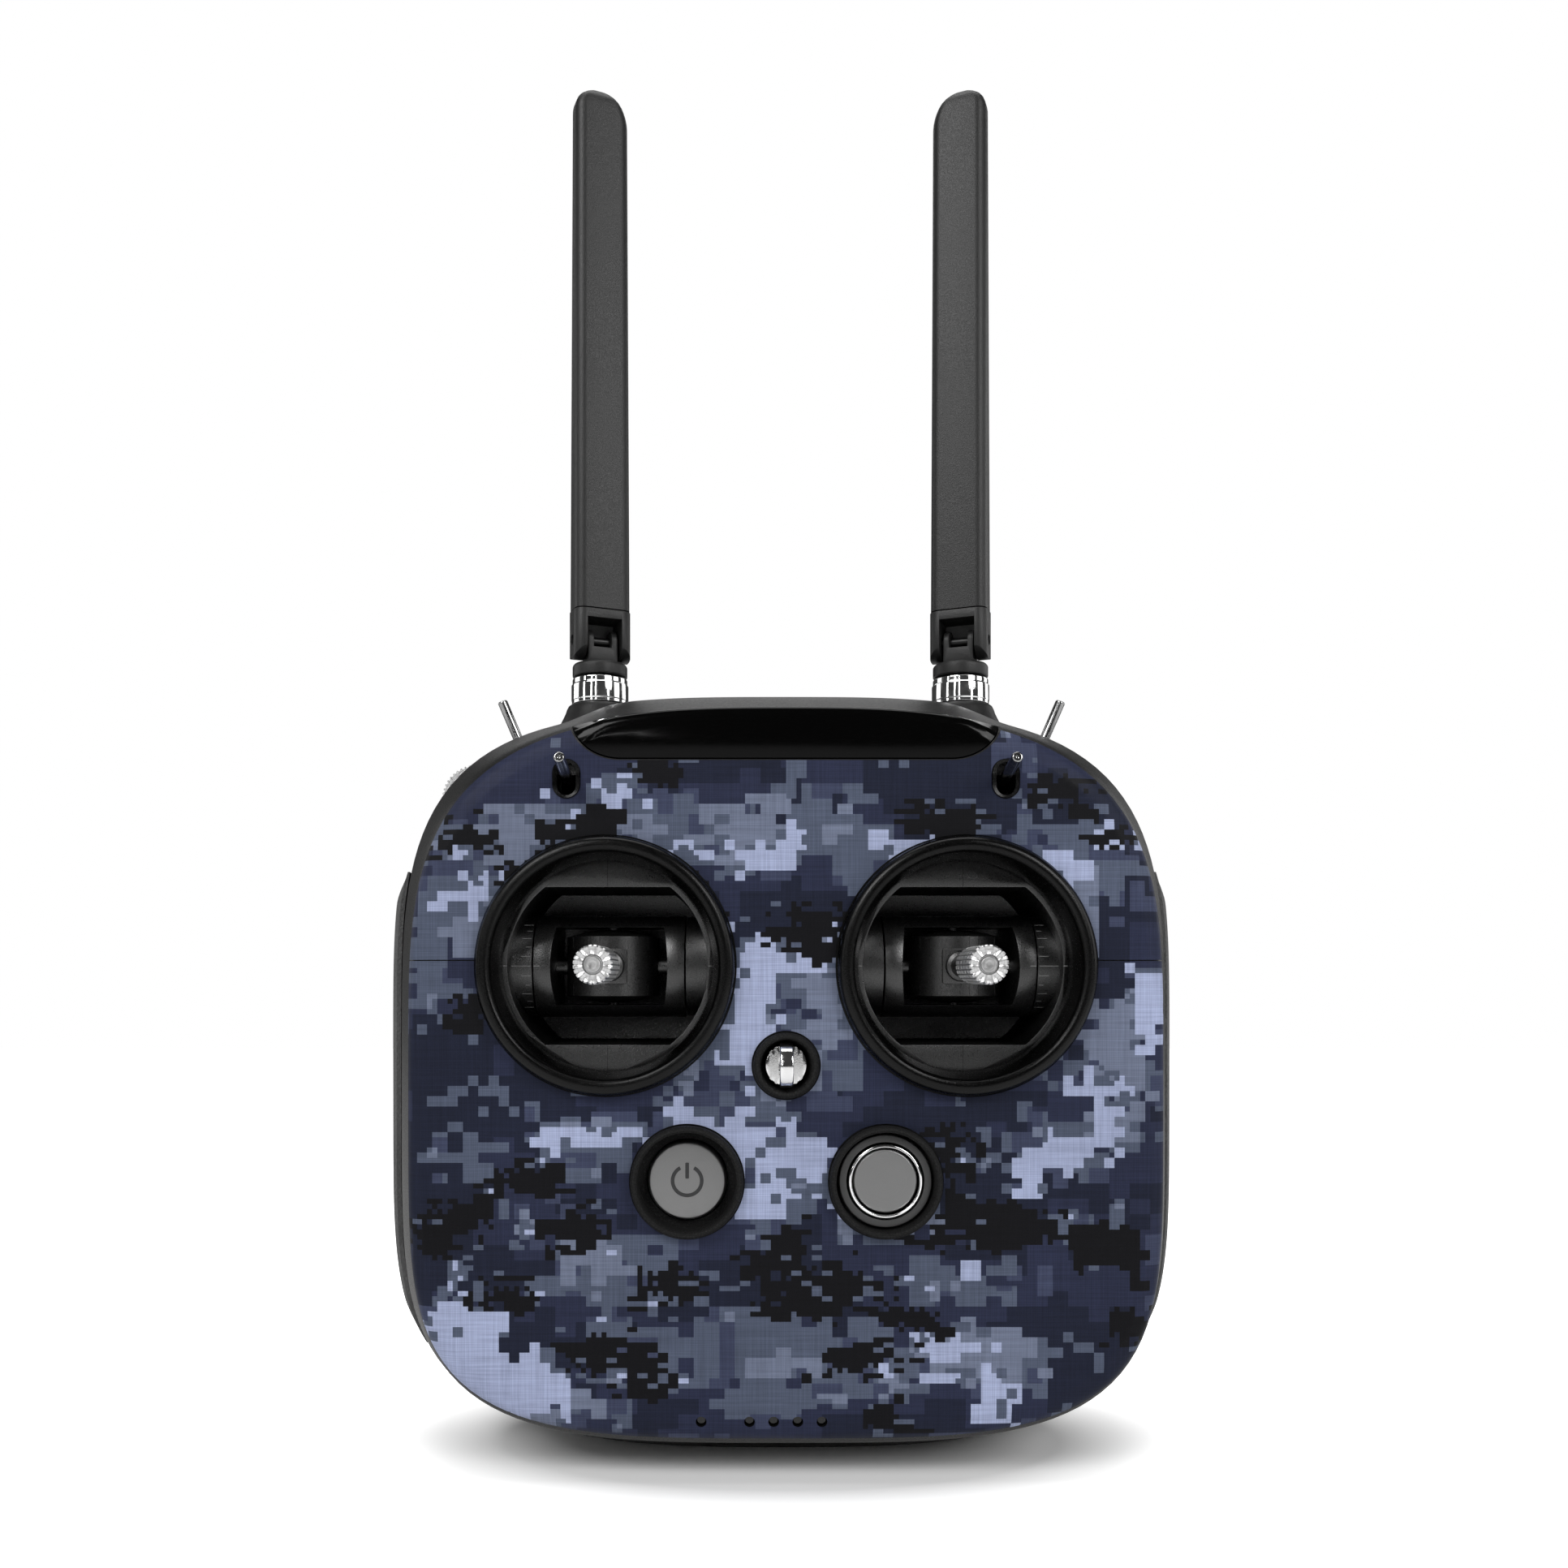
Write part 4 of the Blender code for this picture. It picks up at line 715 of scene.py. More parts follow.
def outline(y, grow=0.0):
    """Points round the case at a given Y, evenly spaced, from the top down the right side and back."""
    half_width, top, bottom, upper, lower = case_section(y)
    middle_rise = max(0.0, case_row(y)[3])
    fine = []
    for i in range(721):
        angle = math.radians(90 - i / 4)
        rise, (p, q) = (top, upper) if angle >= 0 else (-bottom, lower)
        x = (half_width + grow) * max(0.0, math.cos(angle)) ** (2 / p)
        z = (rise + math.copysign(grow, rise)) * abs(math.sin(angle)) ** (2 / q)
        if angle > 0:
            share = min(1.0, max(0.0, (RAISED_OUTER_X - x) / (RAISED_OUTER_X - RAISED_INNER_X)))
            z += middle_rise * ease(share)
        fine.append((x, max(WAIST_Z + z, 0.0)))
    lengths = [0.0]
    for a, b in zip(fine, fine[1:]):
        lengths.append(lengths[-1] + math.dist(a, b))
    half = OUTLINE_POINTS // 2
    points = []
    index = 0
    for i in range(half + 1):
        target = lengths[-1] * i / half
        while index < len(fine) - 2 and lengths[index + 1] < target:
            index += 1
        share = (target - lengths[index]) / (lengths[index + 1] - lengths[index])
        points.append(tuple(mix(a, b, share) for a, b in zip(fine[index], fine[index + 1])))
    return points + [(-x, z) for x, z in reversed(points[1:-1])]


def add_case_surface(bm, ys, cap, lift=0.0, grow=0.0):
    """Rings round the case with a flat end, whose rim has a ring of its own."""
    rings = []
    for y in ys:
        rings.append([bm.verts.new((x, y - lift, z)) for x, z in outline(y, grow)])
    bridge(bm, rings)
    end = rings[0] if cap == "front" else rings[-1]
    inner = []
    for vert in end:
        x, y, z = vert.co
        inner.append(bm.verts.new((x * CAP_SHRINK, y, WAIST_Z + (z - WAIST_Z) * CAP_SHRINK)))
    bridge(bm, [inner, end] if cap == "front" else [end, inner])
    bm.faces.new(list(reversed(inner)) if cap == "front" else inner)


def even_steps(low, high, count):
    return [mix(low, high, i / count) for i in range(count + 1)]


def case_piece(name, ys, cap, material, nodes, wall=WALL, offset=-1, lift=0.0, grow=0.0):
    """A sheet of the case's surface, thickened inwards or, with an offset of 1, outwards."""
    bm = bmesh.new()
    add_case_surface(bm, ys, cap, lift, grow)
    piece = to_piece(name, bm, material, "case", nodes)
    thicken = piece.modifiers.new("wall", "SOLIDIFY")
    thicken.thickness = wall * MM
    thicken.offset = offset
    thicken.use_even_offset = True
    settle(piece)
    return piece


def fascia_outline(inset):
    side = FASCIA_SIDE_X - inset
    top = FASCIA_SIDE_X + 3.0 - inset
    low = FASCIA_LOW_Z + inset
    right = arc(FASCIA_FLAT_X, FASCIA_CORNER_Z, side - FASCIA_FLAT_X, FASCIA_CORNER_Z - low, -90, 0, 20)
    return right + [(top, 180.0), (-top, 180.0)] + [(-x, z) for x, z in reversed(right)]


def fascia_block(inset):
    def build(bm):
        add_slab(bm, fascia_outline(inset), -FASCIA_BACK_Y + inset, 30.0, facing_front(0.0, 0.0, 0.0))
    return cutter("fascia_block", build)


def lift_fascia(piece):
    """Carry the fascia's flat front up to a tight top edge, fading out at its two ends."""
    for vert in piece.data.vertices:
        x, y, z = vert.co / MM
        if z > 130.0:
            share = min(1.0, max(0.0, (46.0 - abs(x)) / 10.0))
            depth = max(0.0, (FASCIA_BACK_Y + 0.5 - y) / 4.0)
            vert.co.z += FASCIA_LIFT * ease(share) * depth ** 1.5 * MM


# The status lights, and the X and Z of the right face toggle's slot
LED_XS = (-17.4, -7.5, -2.55, 2.4, 7.35)
LED_Z = 13.1
LED_CUT_BACK_Y = -22.0
TOGGLE_SLOT = (45.0, 144.8)


def face_openings(gimbal, bezel, strap, led, toggle):
    """Cutters for the face's openings, with the given radii."""
    places = [(side * GIMBAL[0], GIMBAL[2], gimbal) for _, side in SIDES]
    places += [(POWER[0], POWER[2], bezel), (RETURN[0], RETURN[2], bezel), (0.0, STRAP[2], strap)]

    def through(x, z, radius, back=CUT_BACK_Y):
        return (x, CUT_FRONT_Y, z), (x, back, z), radius
    rounds = rods_cutter("round_openings", [through(*place) for place in places], 96)
    lights = rods_cutter("light_openings", [through(x, LED_Z, led, LED_CUT_BACK_Y) for x in LED_XS], 24)

    def build(bm):
        for _, side in SIDES:
            slot = stadium(side * TOGGLE_SLOT[0], TOGGLE_SLOT[1], toggle, 1.2)
            add_slab(bm, slot, 22.0, 36.0, facing_front(0.0, 0.0, 0.0))
    return [rounds, lights, cutter("slot_openings", build)]


def make_front():
    """The case's front half, the gloss top panel, and the printed skin with a slit beside each stick."""
    ys = even_steps(FACE_Y, SKIN_EDGE_Y, 8) + even_steps(SKIN_EDGE_Y, FRONT_RIM_Y, 16)[1:]
    shell = case_piece("shell_front", ys, "front", SHELL, ["front_shell"])
    openings = face_openings(gimbal=25.8, bezel=11.0, strap=6.2, led=1.15, toggle=2.3)
    carve(shell, [*openings, fascia_block(0.0)])
    fascia = case_piece("fascia", ys, "front", FASCIA, ["top_fascia"])
    lift_fascia(fascia)
    carve(fascia, [fascia_block(FIT_GAP)], "INTERSECT")
    soften(fascia, 0.3)
    skin_ys = even_steps(FACE_Y, SKIN_EDGE_Y, 8)
    skin = case_piece("skin_sheet", skin_ys, "front", SKIN, ["front_skin"], SKIN_THICKNESS, 1,
                      SKIN_LIFT, SKIN_GROW)
    mark_print(skin)

    def slits(bm):
        for _, side in SIDES:
            xs = sorted((side * (GIMBAL[0] + 25.5), side * 90.0))
            add_box(bm, (xs[0], -34.0, GIMBAL[2] + 0.98), (xs[1], -24.0, GIMBAL[2] + 1.22))
    openings = face_openings(gimbal=26.9, bezel=11.86, strap=7.1, led=1.1, toggle=2.9)
    carve(skin, [*openings, fascia_block(-FIT_GAP), cutter("slits", slits)])


def make_slot_rims():
    """Textured lips round the face toggles' slots, standing just above the skin."""
    outer = stadium(0.0, 0.0, 2.75, 1.2)
    inner = stadium(0.0, 0.0, 1.95, 1.45)
    for label, side in SIDES:
        bm = bmesh.new()
        loops = []
        for points, height in ((outer, 28.2), (outer, 28.9), (inner, 28.7), (inner, 26.2)):
            loops.append([bm.verts.new((x, y, height)) for x, y in points])
        bridge(bm, loops, closed=True)
        bmesh.ops.recalc_face_normals(bm, faces=bm.faces)
        to_piece(f"slot_rim_{label}", bm, RING_PLASTIC, "case", (),
                 facing_front(side * TOGGLE_SLOT[0], 0.0, TOGGLE_SLOT[1]))


def make_rear():
    """The case's back half with flared antenna bosses, its openings and the line round its cover."""
    ys = even_steps(REAR_RIM_Y, 15.0, 12) + even_steps(15.0, BACK_Y, 16)[1:]
    shell = case_piece("shell_rear", ys, "back", SHELL, ["rear_shell"])
    flare = [(0.0, 167.1), (6.9, 167.1), (7.3, 166.8), (7.65, 166.1), (7.95, 165.2), (8.4, 164.2),
             (9.2, 162.6), (9.6, 160.5), (0.0, 160.5)]

    def bosses(bm):
        for _, s in SIDES:
            add_turned(bm, flare, 96, Matrix.Translation((s * ANTENNA[0], ANTENNA[1], 0.0)))
    carve(shell, [cutter("bosses", bosses)], "UNION")
    cuts = []
    for label, s in SIDES:
        x, y = s * ANTENNA[0], ANTENNA[1]
        cuts.append(rods_cutter("antenna_bore", [((x, y, 150.0), (x, y, 168.0), 3.4)]))
        x, y, z = middle(f"{label}_dial")
        cuts.append(rods_cutter("dial_slot", [((x, y - 2.1, z), (x, y + 2.1, z), 8.5)]))
        cuts.append(rods_cutter("button_hole", [(*shoulder_button_ends(label), 3.9)]))
        cuts.append(shoulder_slot(label, s))
    inner_y, outer_y = BACK_CUT_YS
    ends = []
    for _, s in SIDES:
        ends += [((s * x, inner_y, z), (s * x, outer_y, z), radius) for x, z, radius in BACK_HOLES]
    cuts.append(rods_cutter("back_holes", ends))
    (low_x, low_z), (high_x, high_z) = PORT_SPACE
    port = ((low_x, inner_y, low_z), (high_x, outer_y, high_z))
    cuts.append(cutter("port_space", lambda bm: add_box(bm, *port)))
    carve(shell, cuts)
    carve(shell, [back_panel_groove()])


def back_panel_groove():
    """Cutter for a shallow line round the cover in the back."""
    def build(bm):
        place = facing_front(0.0, 0.0, 66.0)
        loops = []
        for inset, height in ((0.0, -29.5), (0.0, -27.9), (0.7, -27.9), (0.7, -29.5)):
            points = rounded_box_outline(36.0 - inset, 44.0 - inset, 7.0 - inset)
            loops.append([bm.verts.new(place @ Vector((x, y, height))) for x, y in points])
        bridge(bm, loops, closed=True)
    return cutter("panel_groove", build)


def shoulder_button_ends(label):
    """Two points on a shoulder button's axis, from its joint's direction."""
    centre = Vector(middle(f"shoulder_button_{label}"))
    axis = Vector(joint(f"{label}_shoulder_press")["axis"])
    return centre - axis * 9.0, centre + axis * 7.0


def shoulder_slot(label, side):
    """Cutter for the slot that a shoulder toggle moves in."""
    pivot = pivot_of(f"{label}_shoulder_toggle")
    matrix = Matrix.Translation(pivot) @ Matrix.Rotation(side * SHOULDER_LEAN, 4, "Y")
    slot = stadium(0.0, 0.0, 1.9, 2.0)
    return cutter("shoulder_slot", lambda bm: add_slab(bm, slot, -1.0, 11.0, matrix))


def side_x(y, z):
    """Half width of the case at a given Y and Z."""
    half_width, top, bottom, upper, lower = case_section(y)
    span, (p, q) = (top, upper) if z >= WAIST_Z else (bottom, lower)
    return half_width * (1.0 - min(1.0, abs(z - WAIST_Z) / span) ** q) ** (1 / p)


def make_grips():
    """Side panels that swell from a thin rim to a full pad."""
    columns, rows = 96, 24
    for label, side in SIDES:
        bm = bmesh.new()
        outer, inner = [], []
        for i in range(columns + 1):
            z = mix(GRIP_LOW_Z, GRIP_HIGH_Z, i / columns)
            end = min(1.0, (i / columns) / 0.09, (1 - i / columns) / 0.07)
            swell = math.sin(end * math.pi / 2)
            for j in range(rows + 1):
                y = mix(GRIP_FRONT_Y, GRIP_BACK_Y, j / rows)
                across = min(1.0, (y - GRIP_FRONT_Y) / 7.5 + 0.15) * min(1.0, (GRIP_BACK_Y - y) / 8.0 + 0.3)
                x = side_x(y, z) + GRIP_GAP
                thick = GRIP_RIM + GRIP_SWELL * swell * math.sin(min(1.0, across) * math.pi / 2)
                outer.append(bm.verts.new((side * (x + thick), y, z)))
                inner.append(bm.verts.new((side * x, y, z)))
        add_grid_solid(bm, outer, inner, columns, rows)
        to_piece(f"grip_pad_{label}", bm, GRIP, "case", [f"grip_{label}"], angle=50.0)


def add_grid_solid(bm, outer, inner, columns, rows):
    """Close two grids of the same layout into a solid."""
    def at(grid, i, j):
        return grid[i * (rows + 1) + j]
    for grid in (outer, inner):
        for i in range(columns):
            for j in range(rows):
                bm.faces.new([at(grid, i + a, j + b) for a, b in ((0, 0), (1, 0), (1, 1), (0, 1))])
    rim = [(i, 0) for i in range(columns)] + [(columns, j) for j in range(rows)]
    rim += [(i, rows) for i in range(columns, 0, -1)] + [(0, j) for j in range(rows, 0, -1)]
    for (i, j), (k, m) in zip(rim, rim[1:] + rim[:1]):
        bm.faces.new((at(outer, i, j), at(outer, k, m), at(inner, k, m), at(inner, i, j)))
    bmesh.ops.recalc_face_normals(bm, faces=bm.faces)


# ---- stick gimbals ----

# The plate's front, the well and its cheeks, the barrel, the drum, and the barrel's bowed window
PLATE_Y = -24.0
WELL_RADIUS = 20.9
CHEEK_X = 16.4
CHEEK_RADIUS = 10.7
BARREL_RADIUS = 11.0
DRUM_RADIUS = 10.0
DRUM_HALF_HEIGHT = 7.9
WINDOW_HALF_WIDTH = 12.3
WINDOW_HALF_HEIGHT = 8.3
WINDOW_BOW = 40.0


def make_gimbal(label, side):
    x, y, z = side * GIMBAL[0], GIMBAL[1], GIMBAL[2]
    ring = rounded([(24.5, 32.0, 0.9), (26.3, 31.3, 1.1), (26.6, 28.95, 0.2), (25.5, 28.95), (25.5, 24.4),
                    (21.8, 24.4, 0.2), (22.1, 27.2, 0.5), (23.3, 31.4, 0.8)], 5)
    place = facing_front(x, 0.0, z)
    turned(f"stick_ring_{label}", ring, RING_PLASTIC, "case", place, [f"gimbal_ring_{label}"], 128)
    make_well(label, side, x, y, z)
    make_barrel(label, side, x, y, z)
    make_drum(label, x, y, z)
    shaft = rounded([(0.0, 33.0), (2.4, 33.0, 0.2), (2.4, 12.3), (3.3, 11.9, 0.3), (3.3, 10.6), (2.4, 10.6),
                     (2.4, 6.6), (0.0, 6.6)])
    turned(f"stick_rod_{label}", shaft, GIMBAL_PLASTIC, f"{label}_stick", facing_front(x, y, z),
           [f"stick_shaft_{label}"], 48)
    make_stick_end(label, x, y, z)


def make_well(label, side, x, y, z):
    """Recessed plate and well with side cheeks, seams, index marks and a tick scale."""
    bm = bmesh.new()
    add_rod(bm, (x, PLATE_Y, z), (x, 3.6, z), 24.6, 96)
    well = to_piece(f"stick_well_{label}", bm, GIMBAL_PLASTIC, "case", [f"gimbal_housing_{label}"])
    corner = math.degrees(math.asin(CHEEK_X / WELL_RADIUS))
    points = []
    for turn in (0, 180):
        points += arc(0.0, 0.0, WELL_RADIUS, WELL_RADIUS, turn - corner, turn + corner, 32)
    carve(well, [cutter("well_space", lambda b: add_slab(b, points, -1.6, 28.0, facing_front(x, 0.0, z)))])
    soften(well, 0.18)
    cheeks = [((x + way * 16.2, y, z), (x + way * 22.0, y, z), CHEEK_RADIUS) for way in (-1, 1)]
    carve(well, [rods_cutter("cheeks", cheeks, 96)], "UNION")
    carve(well, [rods_cutter("cheek_bores", [((x - 19.0, y, z), (x + 19.0, y, z), 2.2)], 24)])

    back = PLATE_Y + 0.1
    bm = bmesh.new()
    for way in (-1, 1):
        seam_z = z + way * 19.1
        add_box(bm, (x - 0.06, PLATE_Y - 0.04, seam_z - 2.6), (x + 0.06, back, seam_z + 2.6))
    to_piece(f"plate_seams_{label}", bm, SEAM, "case")
    bm = bmesh.new()
    for way, half_x, half_z in ((side, 0.4, 0.09), (-side, 0.35, 0.07)):
        mark_x = x + way * 21.35
        add_box(bm, (mark_x - half_x, PLATE_Y - 0.05, z - half_z), (mark_x + half_x, back, z + half_z))
    for step in range(-5, 6):
        length = 4.0 if step == 0 else 2.0 if step % 2 else 1.1
        turn = Matrix.Translation((x, y, z)) @ Matrix.Rotation(math.radians(step * 11.0), 4, "X")
        xs = sorted((side * 16.45, side * (16.45 + length)))
        add_box(bm, (xs[0], -10.74, -0.055), (xs[1], -10.6, 0.055), turn)
    to_piece(f"cheek_scale_{label}", bm, MARK, "case")


def make_barrel(label, side, x, y, z):
    """Barrel with end pins, an index mark and a window whose upright sides bow outwards."""
    bm = bmesh.new()
    add_rod(bm, (x - 15.85, y, z), (x + 15.85, y, z), BARREL_RADIUS, 128)
    barrel = to_piece(f"stick_barrel_{label}", bm, GIMBAL_PLASTIC, f"{label}_yoke", [f"gimbal_yoke_{label}"])
    bow = math.degrees(math.asin(WINDOW_HALF_HEIGHT / WINDOW_BOW))
    offset = WINDOW_HALF_WIDTH - WINDOW_BOW
    window = arc(offset, 0.0, WINDOW_BOW, WINDOW_BOW, -bow, bow, 12)
    window += arc(-offset, 0.0, WINDOW_BOW, WINDOW_BOW, 180 - bow, 180 + bow, 12)
    carve(barrel, [cutter("window", lambda b: add_slab(b, window, -15.0, 15.0, facing_front(x, y, z)))])
    soften(barrel, 0.22)
    carve(barrel, [rods_cutter("barrel_pins", [((x - 18.6, y, z), (x + 18.6, y, z), 1.8)], 32)], "UNION")
    bm = bmesh.new()
    xs = sorted((side * 14.5, side * 15.75))
    front = y - BARREL_RADIUS
    add_box(bm, (x + xs[0], front - 0.04, z - 0.07), (x + xs[1], front + 0.1, z + 0.07))
    to_piece(f"barrel_mark_{label}", bm, MARK, f"{label}_yoke")


def make_drum(label, x, y, z):
    """Domed drum with end pins, two ribbed bands and a square pad."""
    dome = [(DRUM_RADIUS * i / 12, DRUM_HALF_HEIGHT - 1.6 * (i / 12) ** 2) for i in range(13)]
    profile = dome + [(r, -h) for r, h in reversed(dome)]
    bm = bmesh.new()
    add_turned(bm, profile, 96, Matrix.Translation((x, y, z)))
    for low, high in ((7.0, 10.2), (-10.2, -7.0)):
        add_rod(bm, (x, y, z + low), (x, y, z + high), 1.3, 24)
    for way in (-1, 1):
        for step in range(-4, 5):
            angle = math.asin(step * 2.0 / DRUM_RADIUS)
            turn = Matrix.Translation((x, y, z)) @ Matrix.Rotation(angle, 4, "Z")
            lows = sorted((way * 3.9, way * 6.2))
            add_box(bm, (-0.07, -10.09, lows[0]), (0.07, -9.5, lows[1]), turn)
    to_piece(f"stick_drum_{label}", bm, GIMBAL_PLASTIC, f"{label}_stick", [f"gimbal_drum_{label}"])
    bm = bmesh.new()
    add_slab(bm, rounded_box_outline(3.8, 3.7, 0.5), 6.0, 10.25, facing_front(x, y, z))
    soften(to_piece(f"drum_pad_{label}", bm, GIMBAL_PLASTIC, f"{label}_stick"), 0.15)


def make_stick_end(label, x, y, z):
    """Aluminium end: a fluted dished face, a round boss, and square knurling in bands."""
    steps = 144
    low, high, radius = 26.0, 41.0, 3.75
    knurl_pitch, knurl_depth = 1.45, 0.28
    bm = bmesh.new()
    rings = []

    def ring(points):
        rings.append([bm.verts.new((r * math.cos(a), r * math.sin(a), h)) for r, h, a in points])

    angles = [math.tau * i / steps for i in range(steps)]
    ring([(2.75, low, a) for a in angles])
    rows = 75
    for k in range(rows + 1):
        height = mix(low, high - 0.45, k / rows)
        band = 0.5 - 0.5 * math.cos(math.tau * (height - low) / knurl_pitch)
        cross = max(0.0, band - 0.72) / 0.28
        points = []
        for a in angles:
            flute = max(0.0, 0.5 + 0.5 * math.cos(24 * a) - 0.74) / 0.26
            points.append((radius - knurl_depth * max(cross, flute), height, a))
        ring(points)
    for share in (0.0, 0.2, 0.4, 0.6, 0.8, 1.0):
        r = mix(3.45, 1.95, share)
        depth = 0.34 * math.sin(math.pi * (0.25 + 0.7 * share))
        ring([(r, high - depth * (0.5 + 0.5 * math.cos(12 * a)) - 0.12 * share, a) for a in angles])
    for r, h in ((1.75, high - 0.75), (1.5, high - 0.75), (1.42, high - 0.1), (1.3, high), (0.95, high),
                 (0.85, high - 0.1), (0.45, high - 0.16)):
        ring([(r, h, a) for a in angles])
    bridge(bm, rings)
    bm.faces.new(rings[-1])
    bm.faces.new(list(reversed(rings[0])))
    to_piece(f"stick_tip_{label}", bm, ALUMINIUM, f"{label}_stick_end", [f"stick_end_{label}"],
             facing_front(x, y, z), 28.0)


# ---- buttons and strap anchor ----

def make_bezel(name, node, x, z):
    profile = rounded([(10.75, 31.2, 0.5), (11.5, 30.6, 0.6), (11.56, 28.95), (10.7, 28.95), (10.7, 24.4),
                       (8.5, 24.4), (8.5, 25.6), (10.0, 25.6), (10.25, 30.8, 0.4)], 4)
    turned(name, profile, BEZEL, "case", facing_front(x, 0.0, z), [node], 96)


def make_buttons():
    x, z = POWER[0], POWER[2]
    make_bezel("power_surround", "power_bezel", x, z)
    cap = rounded([(0.0, 27.4), (7.85, 27.4, 0.5), (8.1, 26.6, 0.3), (8.1, 22.0), (0.0, 22.0)], 5)
    turned("power_cap", cap, CAP_METAL, "power_button", facing_front(x, 0.0, z), ["power_button"], 96)
    make_power_symbol(x, z)

    x, z = RETURN[0], RETURN[2]
    make_bezel("return_surround", "return_bezel", x, z)
    light = rounded([(8.0, 28.0, 0.1), (9.5, 28.0, 0.25), (9.5, 25.9), (8.0, 25.9)])
    ring_finish = textured_plastic("light_ring", grey(0.035), 0.4, grain=3.0, depth=0.02)
    turned("return_ring", light, ring_finish, "case", facing_front(x, 0.0, z), ["return_light_ring"], 96)
    trim = rounded([(7.1, 28.6, 0.12), (7.6, 28.45, 0.2), (7.6, 23.0), (6.9, 23.0), (6.9, 28.35, 0.12)], 4)
    turned("return_trim", trim, CHROME, "case", facing_front(x, 0.0, z), ["return_trim_ring"], 96)
    button = rounded([(0.0, 27.55), (6.3, 27.9, 0.3), (6.6, 27.3, 0.2), (6.6, 22.0), (0.0, 22.0)], 4)
    turned("return_cap", button, CAP_METAL, "return_button", facing_front(x, 0.0, z), ["return_button"], 96)


def make_power_symbol(x, z):
    """Generic power symbol: an open ring with a bar, standing just out of the cap."""
    bm = bmesh.new()
    foot, face = 27.2, 27.44
    outer = arc(0.0, 0.0, 3.38, 3.38, 118, 422, 48)
    inner = arc(0.0, 0.0, 2.62, 2.62, 422, 118, 48)
    add_slab(bm, outer + inner, foot, face)
    add_slab(bm, rounded_box_outline(0.38, 1.65, 0.2), foot, face, Matrix.Translation((0.0, 2.1, 0.0)))
    symbol = textured_plastic("symbol_ink", (0.012, 0.012, 0.013, 1.0), 0.55)
    to_piece("power_symbol", bm, symbol, "power_button", (), facing_front(x, 0.0, z))


def make_strap_anchor():
    """Rubber ring, a grooved chrome disc, and an upright plate with a hole for the strap."""
    z = STRAP[2]
    profile = rounded([(6.05, 30.6, 0.35), (6.7, 29.9, 0.3), (6.75, 28.95), (5.9, 28.95), (5.9, 24.4),
                       (4.75, 24.4), (5.5, 30.3, 0.2)], 4)
    turned("strap_surround", profile, BEZEL, "case", facing_front(0.0, 0.0, z), ["strap_bezel"], 72)
    disc = rounded([(0.0, 28.4), (4.3, 28.4, 0.25), (4.3, 20.0), (0.0, 20.0)], 3)
    lug = turned("strap_eye", disc, CHROME, "case", facing_front(0.0, 0.0, z), ["strap_lug"], 72)

    def grooves(bm):
        for step in (-3, -2, 2, 3):
            add_box(bm, (step * 1.05 - 0.22, -29.0, z - 6.0), (step * 1.05 + 0.22, -28.1, z + 6.0))
    carve(lug, [cutter("lug_grooves", grooves)])
    loop = arc(0.0, 29.0, 4.65, 4.4, 0, 180, 32) + [(-3.7, 26.0), (3.7, 26.0)]
    upright = Matrix(((0, 0, 1, 0), (0, -1, 0, 0), (1, 0, 0, z), (0, 0, 0, 1)))
    bm = bmesh.new()
    add_slab(bm, loop, -1.4, 1.4, upright)
    bmesh.ops.recalc_face_normals(bm, faces=bm.faces)
    plate = to_piece("strap_plate", bm, CHROME, "case")
    carve(plate, [rods_cutter("lug_hole", [((-5.0, -30.3, z), (5.0, -30.3, z), 1.7)], 32)])
    soften(plate, 0.35, 3)


# ---- toggles, dials, antennas ----

# How far each kind of toggle's lever reaches from its pivot, then the dials' wheels
TOGGLE_REACH = {"face": 18.0, "shoulder": 14.8}
WHEEL_TEETH = 48
WHEEL_RADIUS = 7.98
WHEEL_GROOVE = 0.32


def make_toggles():
    for label, side in SIDES:
        for kind, reach in TOGGLE_REACH.items():
            node = f"{kind}_toggle_lever_{label}"
            if kind == "face":
                turn = Euler((math.radians(90) - TOGGLE_REST, 0.0, 0.0)).to_matrix()
            else:
                turn = Matrix.Rotation(side * SHOULDER_LEAN, 3, "Y") @ Matrix.Rotation(TOGGLE_REST, 3, "X")
            dimple = [(0.0, reach - 0.7), (0.34, reach - 0.55), (0.4, reach - 0.02)]
            tip = [(0.9, reach, 0.15), (1.1, reach - 0.3, 0.15)]
            ball = [(1.1, 2.4), (1.75, 1.0), (1.9, 0.0), (1.6, -1.1), (1.0, -1.6), (0.0, -1.9)]
            profile = rounded(dimple + tip + ball)
            place = Matrix.Translation(pivot_of(f"{label}_{kind}_toggle")) @ turn.to_4x4()
            turned(f"{kind}_toggle_{label}", profile, LEVER_SHADED_CHROME, node, place, [node], 48)


def make_dials():
    """Thumb wheels with a knurled rim."""
    for label, _ in SIDES:
        x, y, z = middle(f"{label}_dial")
        bm = bmesh.new()
        points = []
        for i in range(WHEEL_TEETH * 4):
            angle = math.tau * i / (WHEEL_TEETH * 4)
            radius = WHEEL_RADIUS - (WHEEL_GROOVE if i % 4 in (0, 1) else 0.0)
            points.append((radius * math.cos(angle), radius * math.sin(angle)))
        add_slab(bm, points, -1.8, 1.8)
        add_rod(bm, (0, 0, -5.0), (0, 0, 5.0), 1.5, 24)
        to_piece(f"wheel_{label}", bm, ALUMINIUM, f"{label}_dial", [f"{label}_dial"], facing_front(x, y, z))


